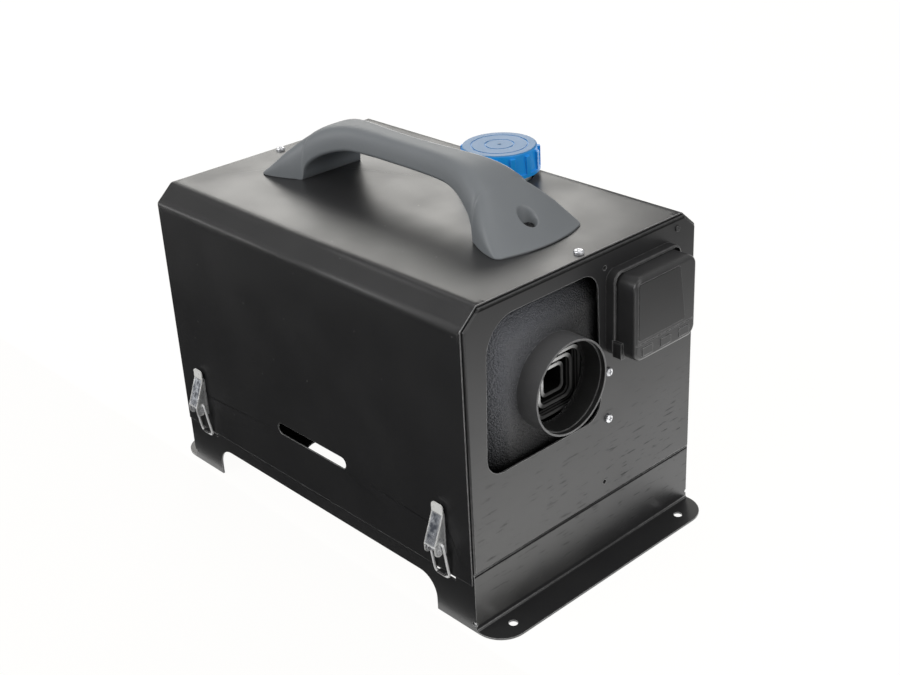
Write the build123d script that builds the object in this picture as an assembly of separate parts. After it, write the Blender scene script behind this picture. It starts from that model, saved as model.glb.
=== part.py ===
from build123d import *
import math
import os

# All-in-one diesel air heater: a sheet-steel case with the air heater, fuel tank and pump inside.
# +X is the warm-air outlet end, -Y the heater's long side, +Z up.
# The origin is on the ground, below the middle of the case. Sizes are in millimetres.

os.makedirs("parts", exist_ok=True)

# ---------------------------------------------------------------- driving sizes: case
COVER_LENGTH = 370.0
COVER_WIDTH = 251.0
COVER_TOP = 265.4
COVER_LOW = 43.0
CHAMFER_ACROSS = 16.0
CHAMFER_DOWN = 14.0
BEND_RADIUS = 3.4
SHEET = 1.2
BASE_SHEET = 1.5
SIDE_CLEARANCE = 0.3        # base skirt inside the cover
PANEL_CLEARANCE = 0.6       # end panels inside the cover
PANEL_PROUD = 2.2           # panel face beyond the cover's edge
PAN_DEPTH = 20.0
BASE_TOP = 53.0
FLANGE_REACH = 26.0
FLANGE_CORNER = 23.0
FLANGE_HOLE_RADIUS = 3.5
FLANGE_HOLE_SPACING = 196.0
FLANGE_HOLE_OUT = 12.5
ARCH_LENGTH = 286.0
ARCH_HEIGHT = 28.5
ARCH_CORNER = 18.0
FIT = 0.2                   # a screw or stud in its clearance hole, and stacked loose pieces

# ---------------------------------------------------------------- driving sizes: heater
AXIS_Y = -29.5              # heater axis
AXIS_Z = 174.5
BODY_WIDTH = 132.0
BODY_HEIGHT = 136.0
BODY_CORNER = 24.0
SHELL_WALL = 2.5
HEATER_LENGTH = 356.0
HOOD_SET_BACK = 9.2         # hood's front behind the panel's face
HOOD_LENGTH = 60.0
GUARD_LENGTH = 30.0
SPIGOT_RADIUS = 37.5
SPIGOT_WALL = 2.3
SPIGOT_LENGTH = 20.0
SHAFT_RADIUS = 4.0
SHAFT_CLEARANCE = 0.06
EXHAUST_BACK = 148.0        # exhaust stub behind the hood's front
AIR_INTAKE_BACK = 258.0
STUB_RADIUS = 12.0
STUB_WALL = 1.5
STUB_END = 18.0
STAND_TOP = 100.0
GASKET_THICKNESS = 2.0
DIVIDER_CLEARANCE = 1.0     # divider beside the heater

# ---------------------------------------------------------------- driving sizes: fuel
TANK_LENGTH = 300.0
TANK_CLEARANCE = 2.3        # tank beside the divider
TANK_SIDE_CLEARANCE = 4.3   # tank inside the cover's far side
TANK_TOP = 243.0
TANK_WALL = 2.5
NECK_X = 17.0
NECK_OFF_MIDDLE = 1.5
NECK_RADIUS = 26.0
NECK_WALL = 3.0
NECK_HOLE_CLEARANCE = 3.5
CAP_ABOVE_COVER = 25.6
CAP_HEIGHT = 21.0
CAP_TOP_WIDER = 5.0         # cap's top radius beyond the neck's
CAP_SKIRT_WIDER = 7.0
CAP_RIBS = 14
NECK_CLEARANCE = 0.3

# ---------------------------------------------------------------- driving sizes: latches
LATCH_X = 154.5
LEVER_WIDTH = 12.0
LEVER_SHEET = 1.0
PIVOT_OUT = 8.5             # lever pivot from the cover's side
PIVOT_Z = 66.5
PIVOT_RADIUS = 1.25
BAIL_IN = 2.0               # bail pivot from the lever's pivot, in and up
BAIL_UP = 5.5
WIRE_RADIUS = 1.0
BAIL_CLEARANCE = 0.8        # bail's legs beside the lever
PIVOT_CLEARANCE = 0.07
CATCH_REACH = 5.0
CATCH_WIDTH = 8.0
CATCH_SLOT_HEIGHT = 3.0
CATCH_SLOT_CLEARANCE = 2.2
CATCH_GAP = 0.5
CATCH_BAR_OUT = 1.2         # the bail's bar from the cover's side

# ---------------------------------------------------------------- driving sizes: handle
HANDLE_Y = -3.0
HANDLE_HALF_LENGTH = 150.0
HANDLE_HEIGHT = 48.6
GRIP_CLEARANCE = 29.1       # grip's underside above the cover
GRIP_HALF_WIDTH = 15.0
FOOT_HALF_WIDTH = 44.0
HANDLE_BOLT_IN = 19.0       # bolt from the handle's tip
HANDLE_BOLT_RADIUS = 2.5

# ---------------------------------------------------------------- driving sizes: controller
CONTROL_Y = 58.3
CONTROL_Z = 212.5
CONTROL_WIDTH = 78.0
CONTROL_HEIGHT = 70.0
CONTROL_PLATE = 8.5
CONTROL_FRONT = 25.8        # front face beyond the panel
PLATE_SCREW_RADIUS = 1.5
KEY_WIDTH = 12.0
KEY_HEIGHT = 7.0
KEY_PITCH = 21.5
KEY_GAP = 0.25

# ---------------------------------------------------------------- values that follow
COVER_HALF = COVER_WIDTH / 2
BASE_HALF = COVER_HALF - SHEET - SIDE_CLEARANCE
FACE_X = COVER_LENGTH / 2 + PANEL_PROUD
BASE_END = FACE_X - SHEET
FLANGE_END = BASE_END + FLANGE_REACH
PANEL_LOW_INSIDE = BASE_TOP + SHEET
HOOD_FRONT = FACE_X - HOOD_SET_BACK
HOOD_BACK = HOOD_FRONT - HOOD_LENGTH
SPIGOT_END = HOOD_FRONT + SPIGOT_LENGTH
GUARD_END = HOOD_FRONT - HEATER_LENGTH
SHELL_BACK = GUARD_END + GUARD_LENGTH
HEATER_MIDDLE = HOOD_FRONT - HEATER_LENGTH / 2
EXHAUST_X = HOOD_FRONT - EXHAUST_BACK
AIR_INTAKE_X = HOOD_FRONT - AIR_INTAKE_BACK
DIVIDER_Y = AXIS_Y + BODY_WIDTH / 2 + DIVIDER_CLEARANCE + SHEET
TANK_LOW_Y = DIVIDER_Y + TANK_CLEARANCE
TANK_HIGH_Y = COVER_HALF - SHEET - TANK_SIDE_CLEARANCE
NECK_Y = (TANK_LOW_Y + TANK_HIGH_Y) / 2 + NECK_OFF_MIDDLE
CAP_TOP = COVER_TOP + CAP_ABOVE_COVER
CAP_TOP_RADIUS = NECK_RADIUS + CAP_TOP_WIDER
CAP_SKIRT_RADIUS = NECK_RADIUS + CAP_SKIRT_WIDER
BAIL_OUT = PIVOT_OUT - BAIL_IN
BAIL_Z = PIVOT_Z + BAIL_UP
BAIL_HALF_WIDTH = LEVER_WIDTH / 2 + BAIL_CLEARANCE + WIRE_RADIUS
CATCH_LOW = COVER_LOW - BASE_SHEET - CATCH_GAP
HANDLE_TOP = COVER_TOP + HANDLE_HEIGHT
GRIP_UNDERSIDE = COVER_TOP + GRIP_CLEARANCE
HANDLE_BOLT_X = HANDLE_HALF_LENGTH - HANDLE_BOLT_IN
ENDS = (1, -1)


def block(x, y, z):
    """Box between three (low, high) pairs."""
    sizes = [high - low for low, high in (x, y, z)]
    middles = [(high + low) / 2 for low, high in (x, y, z)]
    return Pos(*middles) * Box(*sizes)


def rod_x(radius, low, high, y, z):
    return Pos((low + high) / 2, y, z) * Rot(0, 90, 0) * Cylinder(radius, high - low)


def rod_y(radius, low, high, x, z):
    return Pos(x, (low + high) / 2, z) * Rot(90, 0, 0) * Cylinder(radius, high - low)


def rod_z(radius, low, high, x, y):
    return Pos(x, y, (low + high) / 2) * Cylinder(radius, high - low)


def prism_x(face, low, high):
    """Extrude a (Y, Z) outline along X."""
    return extrude(Plane.YZ.offset(low) * face, amount=high - low)


def prism_y(face, low, high):
    """Extrude an (X, Z) outline along Y."""
    return extrude(Plane.XZ.offset(-high) * face, amount=high - low)


def prism_z(face, low, high):
    """Extrude an (X, Y) outline along Z."""
    return extrude(Plane.XY.offset(low) * face, amount=high - low)


def edges_at(shape, **place):
    """Edges whose middle lies at the given X, Y or Z."""
    def fits(edge):
        middle = edge.center()
        return all(abs(getattr(middle, axis) - value) < 0.01 for axis, value in place.items())
    return shape.edges().filter_by(fits)


def save(name, shape):
    export_step(shape, "parts/" + name + ".step")


def group(solids):
    """Separate solids that share one node."""
    return Compound(children=list(solids))


def pan_head(radius, height):
    """Domed screw head standing on Z = 0."""
    head = Cylinder(radius, height, align=(Align.CENTER, Align.CENTER, Align.MIN))
    head = fillet(head.edges().sort_by(Axis.Z)[-1], height * 0.6)
    recess = block((-radius * 0.55, radius * 0.55), (-0.45, 0.45), (height * 0.45, height + 1))
    return head - recess - Rot(0, 0, 90) * recess


def screw(head_radius, head_height, shank_radius, shank_length):
    """Pan-head screw: its seat on Z = 0, shank down."""
    shank = Cylinder(shank_radius, shank_length, align=(Align.CENTER, Align.CENTER, Align.MAX))
    return pan_head(head_radius, head_height) + shank


def hex_nut(across_flats, height, bore_radius):
    """Nut standing on Z = 0."""
    body = extrude(RegularPolygon(across_flats / 2, 6, major_radius=False), amount=height)
    return body - Cylinder(bore_radius, 3 * height)


# ---------------------------------------------------------------- case: cover
COVER_HOLE_RADIUS = 2.2
COVER_SCREW_IN = 7.2        # screw centre from the cover's end
SLOT_MIDDLE_X = 0.5
SLOT_LENGTH = 88.0
SLOT_LOW = 83.6
SLOT_HIGH = 93.6
NECK_HOLE_RADIUS = NECK_RADIUS + NECK_HOLE_CLEARANCE


def housing_outline(inset, low):
    """The cover's section, inset evenly and cut off level."""
    outline = Polyline(
        (-COVER_HALF, 0),
        (-COVER_HALF, COVER_TOP - CHAMFER_DOWN),
        (-COVER_HALF + CHAMFER_ACROSS, COVER_TOP),
        (COVER_HALF - CHAMFER_ACROSS, COVER_TOP),
        (COVER_HALF, COVER_TOP - CHAMFER_DOWN),
        (COVER_HALF, 0),
        close=True,
    )
    face = make_face(outline)
    face = fillet(face.vertices().filter_by(lambda v: v.Y > 1), BEND_RADIUS)
    if inset:
        face = offset(face, amount=-inset)
    return face & Pos(0, low + COVER_TOP / 2) * Rectangle(2 * COVER_WIDTH, COVER_TOP)


def cover_screw_places():
    return [(end * (COVER_LENGTH / 2 - COVER_SCREW_IN), 0.8) for end in ENDS]


def handle_bolt_places():
    return [(end * HANDLE_BOLT_X, HANDLE_Y) for end in ENDS]


def top_cover():
    half = COVER_LENGTH / 2
    cover = prism_x(housing_outline(0, COVER_LOW), -half, half)
    cover -= prism_x(housing_outline(SHEET, COVER_LOW - 5), -half - 1, half + 1)
    slot = Pos(SLOT_MIDDLE_X, (SLOT_LOW + SLOT_HIGH) / 2) * SlotOverall(SLOT_LENGTH, SLOT_HIGH - SLOT_LOW)
    cover -= prism_y(slot, -COVER_HALF - 1, -COVER_HALF + 5)
    cover -= rod_z(NECK_HOLE_RADIUS, COVER_TOP - CHAMFER_DOWN - 2, COVER_TOP + 5, NECK_X, NECK_Y)
    for x, y in cover_screw_places():
        cover -= rod_z(COVER_HOLE_RADIUS, COVER_TOP - 5, COVER_TOP + 5, x, y)
    for x, y in handle_bolt_places():
        cover -= rod_z(HANDLE_BOLT_RADIUS + FIT, COVER_TOP - 5, COVER_TOP + 5, x, y)
    for latch in LATCH_PLACES:
        for z in LATCH_RIVET_Z:
            hole = rod_y(RIVET_RADIUS, -5, 5, 0, z)
            cover -= latch * hole
    return cover


def cover_screws():
    """Two screws through the top of the cover into the end panels' top flanges."""
    return group(Pos(x, y, COVER_TOP) * screw(4.0, 2.4, 1.9, 6.0) for x, y in cover_screw_places())


# ---------------------------------------------------------------- case: end panels
CUTOUT_LOW = AXIS_Z - SPIGOT_RADIUS - 10.0
CUTOUT_HIGH = AXIS_Z + BODY_HEIGHT / 2 + 8.0
CUTOUT_NEAR_LOW = AXIS_Y - BODY_WIDTH / 2 - 12.0
CUTOUT_NEAR_HIGH = AXIS_Y - BODY_WIDTH / 2 - 7.5
CUTOUT_FAR_LOW = AXIS_Y + SPIGOT_RADIUS + 6.5
CUTOUT_FAR_HIGH = AXIS_Y + SPIGOT_RADIUS + 2.5
CUTOUT_CORNER = 16.0
CUTOUT_BIG_CORNER = 28.0
DIVIDER_FLANGE_LOW_Y = AXIS_Y + SPIGOT_RADIUS + 7.8
PANEL_HOLE_RADIUS = 1.9
PANEL_HOLE_Y = DIVIDER_FLANGE_LOW_Y + 2.5
PANEL_HOLE_HEIGHTS = (66.8, COVER_TOP - 15.1)
DIVIDER_SCREW_Y = DIVIDER_FLANGE_LOW_Y + 6.5
DIVIDER_SCREW_HEIGHTS = (122.8, 163.4)
DIVIDER_SCREW_RADIUS = 1.9
FAN_RADIUS = min(BODY_WIDTH, BODY_HEIGHT) / 2 - 12.0
GUARD_THROAT = FAN_RADIUS - 6.0
INTAKE_HOLE_RADIUS = GUARD_THROAT + 4.0
PANEL_BOLT_Y = (-90.0, 60.0)
PANEL_BOLT_IN = 12.0        # bolt from the panel's face
PANEL_BOLT_RADIUS = 2.0
GROMMET_Y = 75.0
GROMMET_Z = 75.0
GROMMET_HOLE_RADIUS = 8.0
RIVET_RADIUS = 1.6
PANEL_RIVET_Y = COVER_HALF - 23.7
PANEL_RIVET_Z = COVER_TOP - 10.4
LEAD_HOLE_RADIUS = 5.0


def panel_bolt_places():
    return [(end * (FACE_X - PANEL_BOLT_IN), y) for end in ENDS for y in PANEL_BOLT_Y]


def blank_panel():
    """Pan with its face at +X and flanges turned in on all sides."""
    inset = SHEET + PANEL_CLEARANCE
    pan = prism_x(housing_outline(inset, BASE_TOP), FACE_X - PAN_DEPTH, FACE_X)
    pan = fillet(edges_at(pan, X=FACE_X), SHEET + 0.3)
    inside = housing_outline(inset + SHEET, PANEL_LOW_INSIDE)
    pan -= prism_x(inside, FACE_X - PAN_DEPTH - 1, FACE_X - SHEET)
    screw_x, screw_y = cover_screw_places()[0]
    pan -= rod_z(COVER_HOLE_RADIUS, COVER_TOP - 8, COVER_TOP, screw_x, screw_y)
    for y in PANEL_BOLT_Y:
        pan -= rod_z(PANEL_BOLT_RADIUS + FIT, BASE_TOP - 1, BASE_TOP + 5, FACE_X - PANEL_BOLT_IN, y)
    return pan


def through_face(face):
    return prism_x(face, FACE_X - SHEET - 2, FACE_X + 2)


def divider_holes():
    """Cutters for the holes that hold the divider's flange."""
    cutters = []
    for z in PANEL_HOLE_HEIGHTS:
        cutters.append(rod_x(PANEL_HOLE_RADIUS, FACE_X - 5, FACE_X + 5, PANEL_HOLE_Y, z))
    for z in DIVIDER_SCREW_HEIGHTS:
        cutters.append(rod_x(DIVIDER_SCREW_RADIUS + FIT, FACE_X - 5, FACE_X + 5, DIVIDER_SCREW_Y, z))
    return cutters


def outlet_panel():
    panel = blank_panel()
    cutout = make_face(Polyline(
        (CUTOUT_NEAR_LOW, CUTOUT_LOW),
        (CUTOUT_FAR_LOW, CUTOUT_LOW),
        (CUTOUT_FAR_HIGH, CUTOUT_HIGH),
        (CUTOUT_NEAR_HIGH, CUTOUT_HIGH),
        close=True,
    ))
    big = cutout.vertices().filter_by(lambda v: v.X < CUTOUT_NEAR_HIGH + 1 and v.Y > CUTOUT_HIGH - 1)
    cutout = fillet(big, CUTOUT_BIG_CORNER)
    sharp = cutout.vertices().filter_by(lambda v: abs(v.Y - CUTOUT_LOW) < 1 or v.X > CUTOUT_FAR_HIGH - 1)
    cutout = fillet(sharp, CUTOUT_CORNER)
    panel -= through_face(cutout)
    for cutter in divider_holes():
        panel -= cutter
    panel -= rod_x(RIVET_RADIUS, FACE_X - 5, FACE_X + 5, PANEL_RIVET_Y, PANEL_RIVET_Z)
    panel -= rod_x(LEAD_HOLE_RADIUS, FACE_X - 5, FACE_X + 5, HOUSING_Y, CONTROL_Z)
    for y, z in pocket_places():
        panel -= rod_x(PLATE_SCREW_RADIUS + FIT, FACE_X - 5, FACE_X + 5, y, z)
    return panel


def mirrored(shape):
    """The same piece at the -X end."""
    return mirror(shape, about=Plane.YZ)


def intake_panel():
    panel = blank_panel()
    panel -= rod_x(INTAKE_HOLE_RADIUS, FACE_X - 5, FACE_X + 5, AXIS_Y, AXIS_Z)
    for cutter in divider_holes():
        panel -= cutter
    panel -= rod_x(GROMMET_HOLE_RADIUS, FACE_X - 5, FACE_X + 5, GROMMET_Y, GROMMET_Z)
    return mirrored(panel)


def divider_screws():
    """Two screws in each end panel, which hold the divider."""
    one = screw(3.6, 2.2, DIVIDER_SCREW_RADIUS, 6.0)
    solids = []
    for z in DIVIDER_SCREW_HEIGHTS:
        placed = Pos(FACE_X, DIVIDER_SCREW_Y, z) * Rot(0, 90, 0) * one
        solids += [placed, mirrored(placed)]
    return group(solids)


def panel_rivet():
    """Blind rivet in the far top corner of the outlet panel."""
    head = Cylinder(2.6, 0.9, align=(Align.CENTER, Align.CENTER, Align.MIN))
    head = fillet(head.edges().sort_by(Axis.Z)[-1], 0.6)
    shank = Cylinder(RIVET_RADIUS - 0.05, SHEET + 1.5, align=(Align.CENTER, Align.CENTER, Align.MAX))
    return Pos(FACE_X, PANEL_RIVET_Y, PANEL_RIVET_Z) * Rot(0, 90, 0) * (head + shank)


def panel_bolts():
    """Bolts through the panels' bottom flanges into the base plate, each with its nut below."""
    solids = []
    for x, y in panel_bolt_places():
        solids.append(Pos(x, y, PANEL_LOW_INSIDE) * screw(3.8, 2.4, PANEL_BOLT_RADIUS, 8.0))
        solids.append(Pos(x, y, BASE_TOP - BASE_SHEET - 3.2) * hex_nut(7.0, 3.2, PANEL_BOLT_RADIUS + 0.02))
    return group(solids)


def power_grommet():
    """Rubber bush in the intake panel where the supply lead goes in."""
    lip = 1.6
    outer = rod_x(GROMMET_HOLE_RADIUS + 2.5, FACE_X, FACE_X + lip, GROMMET_Y, GROMMET_Z)
    outer += rod_x(GROMMET_HOLE_RADIUS + 2.5, FACE_X - SHEET - lip, FACE_X - SHEET, GROMMET_Y, GROMMET_Z)
    outer += rod_x(GROMMET_HOLE_RADIUS - 0.05, FACE_X - SHEET, FACE_X, GROMMET_Y, GROMMET_Z)
    bore = rod_x(GROMMET_HOLE_RADIUS - 3, FACE_X - 10, FACE_X + 10, GROMMET_Y, GROMMET_Z)
    return mirrored(outer - bore)


# ---------------------------------------------------------------- case: base
OPENING_CORNER = 20.0
OPENING_Y = (-104.0, -52.0)
OPENING_X = (HEATER_MIDDLE - 52.0, HEATER_MIDDLE + 60.0)
STUB_HOLE_RADIUS = 16.0
RELIEF_RADIUS = 1.6
RELIEF_Z = 7.0
FLANGE_BEND = 1.5
STAND_HALF_LENGTH = 100.0
STAND_Y = (-88.0, 22.0)
STAND_FOOT = 18.0
STAND_BOLT_OUT = 10.0       # bolt beyond the stand's leg
STAND_BOLT_Y = (-70.0, 5.0)
STAND_BOLT_RADIUS = 2.5
CATCH_SLOT_WIDTH = 2 * (BAIL_HALF_WIDTH + WIRE_RADIUS + CATCH_SLOT_CLEARANCE)


def flange_outline():
    reach = FLANGE_END - BASE_END + BASE_SHEET
    outline = Pos(FLANGE_END - reach / 2, 0) * Rectangle(reach, 2 * BASE_HALF)
    return fillet(outline.vertices().sort_by(Axis.X)[-2:], FLANGE_CORNER)


def stand_bolt_places():
    out = STAND_HALF_LENGTH + STAND_BOLT_OUT
    return [(HEATER_MIDDLE + end * out, y) for end in ENDS for y in STAND_BOLT_Y]


def catches():
    """Cutters for the slots and the tabs bent out above them, one per latch."""
    slot = block(
        (-CATCH_SLOT_WIDTH / 2, CATCH_SLOT_WIDTH / 2),
        (-6, 6),
        (CATCH_LOW - CATCH_SLOT_HEIGHT, CATCH_LOW),
    )
    root = COVER_HALF - BASE_HALF + BASE_SHEET
    reach = CATCH_REACH - (COVER_HALF - BASE_HALF)
    tab = block((-CATCH_WIDTH / 2, CATCH_WIDTH / 2), (-reach, root), (CATCH_LOW, CATCH_LOW + BASE_SHEET))
    return [place * slot for place in LATCH_PLACES], [place * tab for place in LATCH_PLACES]


def base_tray():
    tray = block((-BASE_END, BASE_END), (-BASE_HALF, BASE_HALF), (0, BASE_TOP))
    tray = fillet(edges_at(tray, Z=BASE_TOP), BASE_SHEET + 0.5)
    inner_x = BASE_END - BASE_SHEET
    inner_y = BASE_HALF - BASE_SHEET
    tray -= block((-inner_x, inner_x), (-inner_y, inner_y), (-1, BASE_TOP - BASE_SHEET))
    arch = Pos(0, ARCH_HEIGHT / 2 - 20) * RectangleRounded(ARCH_LENGTH, ARCH_HEIGHT + 40, ARCH_CORNER)
    tray -= prism_y(arch, -BASE_HALF - 5, BASE_HALF + 5)
    for end in ENDS:
        flange = prism_z(flange_outline(), 0, BASE_SHEET)
        tray += flange if end > 0 else mirrored(flange)
    roots = edges_at(tray, Z=BASE_SHEET, X=BASE_END) + edges_at(tray, Z=BASE_SHEET, X=-BASE_END)
    tray = fillet(roots, FLANGE_BEND)
    for end in ENDS:
        for side in ENDS:
            corner_y = side * BASE_HALF
            tray -= rod_x(RELIEF_RADIUS, end * BASE_END - 4, end * BASE_END + 4, corner_y, RELIEF_Z)
            hole_y = side * FLANGE_HOLE_SPACING / 2
            tray -= rod_z(FLANGE_HOLE_RADIUS, -1, 5, end * (BASE_END + FLANGE_HOLE_OUT), hole_y)
    opening = RectangleRounded(OPENING_X[1] - OPENING_X[0], OPENING_Y[1] - OPENING_Y[0], OPENING_CORNER)
    opening = Pos(sum(OPENING_X) / 2, sum(OPENING_Y) / 2) * opening
    tray -= prism_z(opening, BASE_TOP - 5, BASE_TOP + 5)
    for x in (EXHAUST_X, AIR_INTAKE_X):
        tray -= rod_z(STUB_HOLE_RADIUS, BASE_TOP - 5, BASE_TOP + 5, x, AXIS_Y)
    for x, y in stand_bolt_places():
        tray -= rod_z(STAND_BOLT_RADIUS + FIT, BASE_TOP - 5, BASE_TOP + 5, x, y)
    for x, y in panel_bolt_places():
        tray -= rod_z(PANEL_BOLT_RADIUS + FIT, BASE_TOP - 5, BASE_TOP + 5, x, y)
    slots, tabs = catches()
    for slot, tab in zip(slots, tabs):
        tray = tray - slot + tab
    return tray


# ---------------------------------------------------------------- case: divider between heater and tank
DIVIDER_TOP = COVER_TOP - 9.4
HOSE_HOLE_RADIUS = 7.0
LEAD_RADIUS = 2.0
LEAD_TURN_X = FACE_X - 19.2
LEAD_RUN_Z = AXIS_Z + BODY_HEIGHT / 2 + 8.5
NOTCH_HALF = 12.0
NOTCH_LOW = LEAD_RUN_Z - 6.0


def tank_divider():
    end = FACE_X - SHEET
    low = PANEL_LOW_INSIDE
    plate = block((-end, end), (DIVIDER_Y - SHEET, DIVIDER_Y), (low, DIVIDER_TOP))
    for side in ENDS:
        flange = block((end - SHEET, end), (DIVIDER_FLANGE_LOW_Y, DIVIDER_Y), (low, DIVIDER_TOP))
        for cutter in divider_holes():
            flange -= cutter
        plate += flange if side > 0 else mirrored(flange)
    through = (DIVIDER_Y - 10, DIVIDER_Y + 10)
    notch = (LEAD_TURN_X - NOTCH_HALF, LEAD_TURN_X + NOTCH_HALF)
    plate -= block(notch, through, (NOTCH_LOW, DIVIDER_TOP + 1))
    plate -= rod_y(HOSE_HOLE_RADIUS, *through, FUEL_CROSS_X, FUEL_CROSS_Z)
    return plate


# ---------------------------------------------------------------- latches
LATCH_RIVET_Z = (PIVOT_Z + 13.5, PIVOT_Z + 23.5)
LATCH_PLACES = [
    Pos(LATCH_X, -COVER_HALF, 0),
    Pos(-LATCH_X, -COVER_HALF, 0),
    Rot(0, 0, 180) * Pos(-LATCH_X, -COVER_HALF, 0),
    Rot(0, 0, 180) * Pos(LATCH_X, -COVER_HALF, 0),
]
LATCH_NAMES = ("near_outlet", "near_intake", "far_outlet", "far_intake")
PLATE_HALF_WIDTH = LEVER_WIDTH / 2 - LEVER_SHEET - 0.6
EAR_RADIUS = 3.0
LOBE_RADIUS = 4.3
LEVER_BACK = 2.0            # closed lever's cheeks from the cover
LIP_OUT = 3.5
LIP_LOW = PIVOT_Z + 28.5
LIP_HIGH = LIP_LOW + 8.5
LIP_CORNER = 3.0
WEB_LOW_OUT = PIVOT_OUT + LOBE_RADIUS
WEB_LOW_Z = PIVOT_Z + 4.5
PIN_HEAD = 0.3
BAIL_CORNER = 4.0
BAIL_EYE_CORNER = 1.6


def latch_profile(face, low, high):
    """Extrude an (outwards, Z) outline along X; outwards is -Y."""
    return mirror(prism_x(face, low, high), about=Plane.XZ)


def latch_plate():
    """Riveted plate with two ears for the lever's pivot pin."""
    plate = block((-PLATE_HALF_WIDTH, PLATE_HALF_WIDTH), (-LEVER_SHEET, 0), (PIVOT_Z - 6.5, LIP_LOW))
    outline = make_face(Polyline(
        (0, PIVOT_Z - 5.5),
        (0, WEB_LOW_Z),
        (PIVOT_OUT, PIVOT_Z + 2.4),
        (PIVOT_OUT, PIVOT_Z - 2.4),
        close=True,
    ))
    outline += Pos(PIVOT_OUT, PIVOT_Z) * Circle(EAR_RADIUS)
    outline -= Pos(PIVOT_OUT, PIVOT_Z) * Circle(PIVOT_RADIUS)
    for side in ENDS:
        edge = side * PLATE_HALF_WIDTH
        inner = side * (PLATE_HALF_WIDTH - LEVER_SHEET)
        plate += latch_profile(outline, min(edge, inner), max(edge, inner))
    for z in LATCH_RIVET_Z:
        plate -= rod_y(RIVET_RADIUS, -5, 5, 0, z)
    return plate


def latch_lever():
    """Folded channel lever with a flat finger lip at its top."""
    half = LEVER_WIDTH / 2
    web_top = (LIP_OUT, LIP_LOW)
    web_low = (WEB_LOW_OUT, WEB_LOW_Z)
    run = math.hypot(WEB_LOW_OUT - LIP_OUT, LIP_LOW - WEB_LOW_Z)
    inward = (-(LIP_LOW - WEB_LOW_Z) / run * LEVER_SHEET, -(WEB_LOW_OUT - LIP_OUT) / run * LEVER_SHEET)
    web_face = make_face(Polyline(
        web_top,
        web_low,
        (web_low[0] + inward[0], web_low[1] + inward[1]),
        (web_top[0] - LEVER_SHEET, web_top[1] - 0.4),
        close=True,
    ))
    cheek = make_face(Polyline(
        (LEVER_BACK, PIVOT_Z),
        (LEVER_BACK, LIP_LOW - 2),
        web_top,
        web_low,
        (PIVOT_OUT + LOBE_RADIUS, PIVOT_Z),
        close=True,
    ))
    cheek += Pos(PIVOT_OUT, PIVOT_Z) * Circle(LOBE_RADIUS)
    cheek -= Pos(PIVOT_OUT, PIVOT_Z) * Circle(PIVOT_RADIUS + PIVOT_CLEARANCE)
    cheek -= Pos(BAIL_OUT, BAIL_Z) * Circle(WIRE_RADIUS + PIVOT_CLEARANCE)
    lever = latch_profile(web_face, -half, half)
    for side in ENDS:
        inner = side * (half - LEVER_SHEET)
        lever += latch_profile(cheek, min(inner, side * half), max(inner, side * half))
    lip_face = Pos(0, (LIP_LOW + LIP_HIGH) / 2) * Rectangle(LEVER_WIDTH, LIP_HIGH - LIP_LOW + 0.8)
    lip_face = fillet(lip_face.vertices().sort_by(Axis.Y)[-2:], LIP_CORNER)
    lever += prism_y(lip_face, -LIP_OUT, -LIP_OUT + LEVER_SHEET)
    return lever


def latch_pin():
    half = LEVER_WIDTH / 2 + 0.1
    pin = rod_x(PIVOT_RADIUS, -half, half, -PIVOT_OUT, PIVOT_Z)
    head = rod_x(PIVOT_RADIUS + 0.6, half, half + PIN_HEAD, -PIVOT_OUT, PIVOT_Z)
    return pin + head + mirrored(head)


def latch_bail():
    """Wire loop from the lever's cheeks to below the catch tab."""
    bar_z = CATCH_LOW - CATCH_GAP - WIRE_RADIUS
    bar_y = -CATCH_BAR_OUT
    eye = LEVER_WIDTH / 2 - LEVER_SHEET - 0.1
    points = [
        (-eye, -BAIL_OUT, BAIL_Z),
        (-BAIL_HALF_WIDTH, -BAIL_OUT, BAIL_Z),
        (-BAIL_HALF_WIDTH, bar_y, bar_z),
        (BAIL_HALF_WIDTH, bar_y, bar_z),
        (BAIL_HALF_WIDTH, -BAIL_OUT, BAIL_Z),
        (eye, -BAIL_OUT, BAIL_Z),
    ]
    radii = (BAIL_EYE_CORNER, BAIL_CORNER, BAIL_CORNER, BAIL_EYE_CORNER)
    path = FilletPolyline(*points, radius=radii)
    section = Plane(origin=path @ 0, z_dir=path % 0) * Circle(WIRE_RADIUS)
    return sweep(section, path=path)


def latch_rivets():
    head = Cylinder(2.6, 0.8, align=(Align.CENTER, Align.CENTER, Align.MIN))
    head = fillet(head.edges().sort_by(Axis.Z)[-1], 0.5)
    shank = Cylinder(RIVET_RADIUS, LEVER_SHEET + SHEET + 0.8, align=(Align.CENTER, Align.CENTER, Align.MAX))
    tail = Pos(0, 0, -LEVER_SHEET - SHEET) * Cylinder(2.4, 0.8, align=(Align.CENTER, Align.CENTER, Align.MAX))
    rivet = Rot(90, 0, 0) * (head + shank + tail)
    return group(place * Pos(0, -LEVER_SHEET, z) * rivet for place in LATCH_PLACES for z in LATCH_RIVET_Z)


# ---------------------------------------------------------------- handle
HANDLE_TIP = 2.6
HANDLE_CROWN = 1.2
FOOT_BOW = 6.0
INNER_FOOT = HANDLE_HALF_LENGTH - 45.0
ARCH_START = INNER_FOOT - 45.0
RECESS_RADIUS = 6.5
RECESS_FLOOR = COVER_TOP + 8.6


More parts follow.
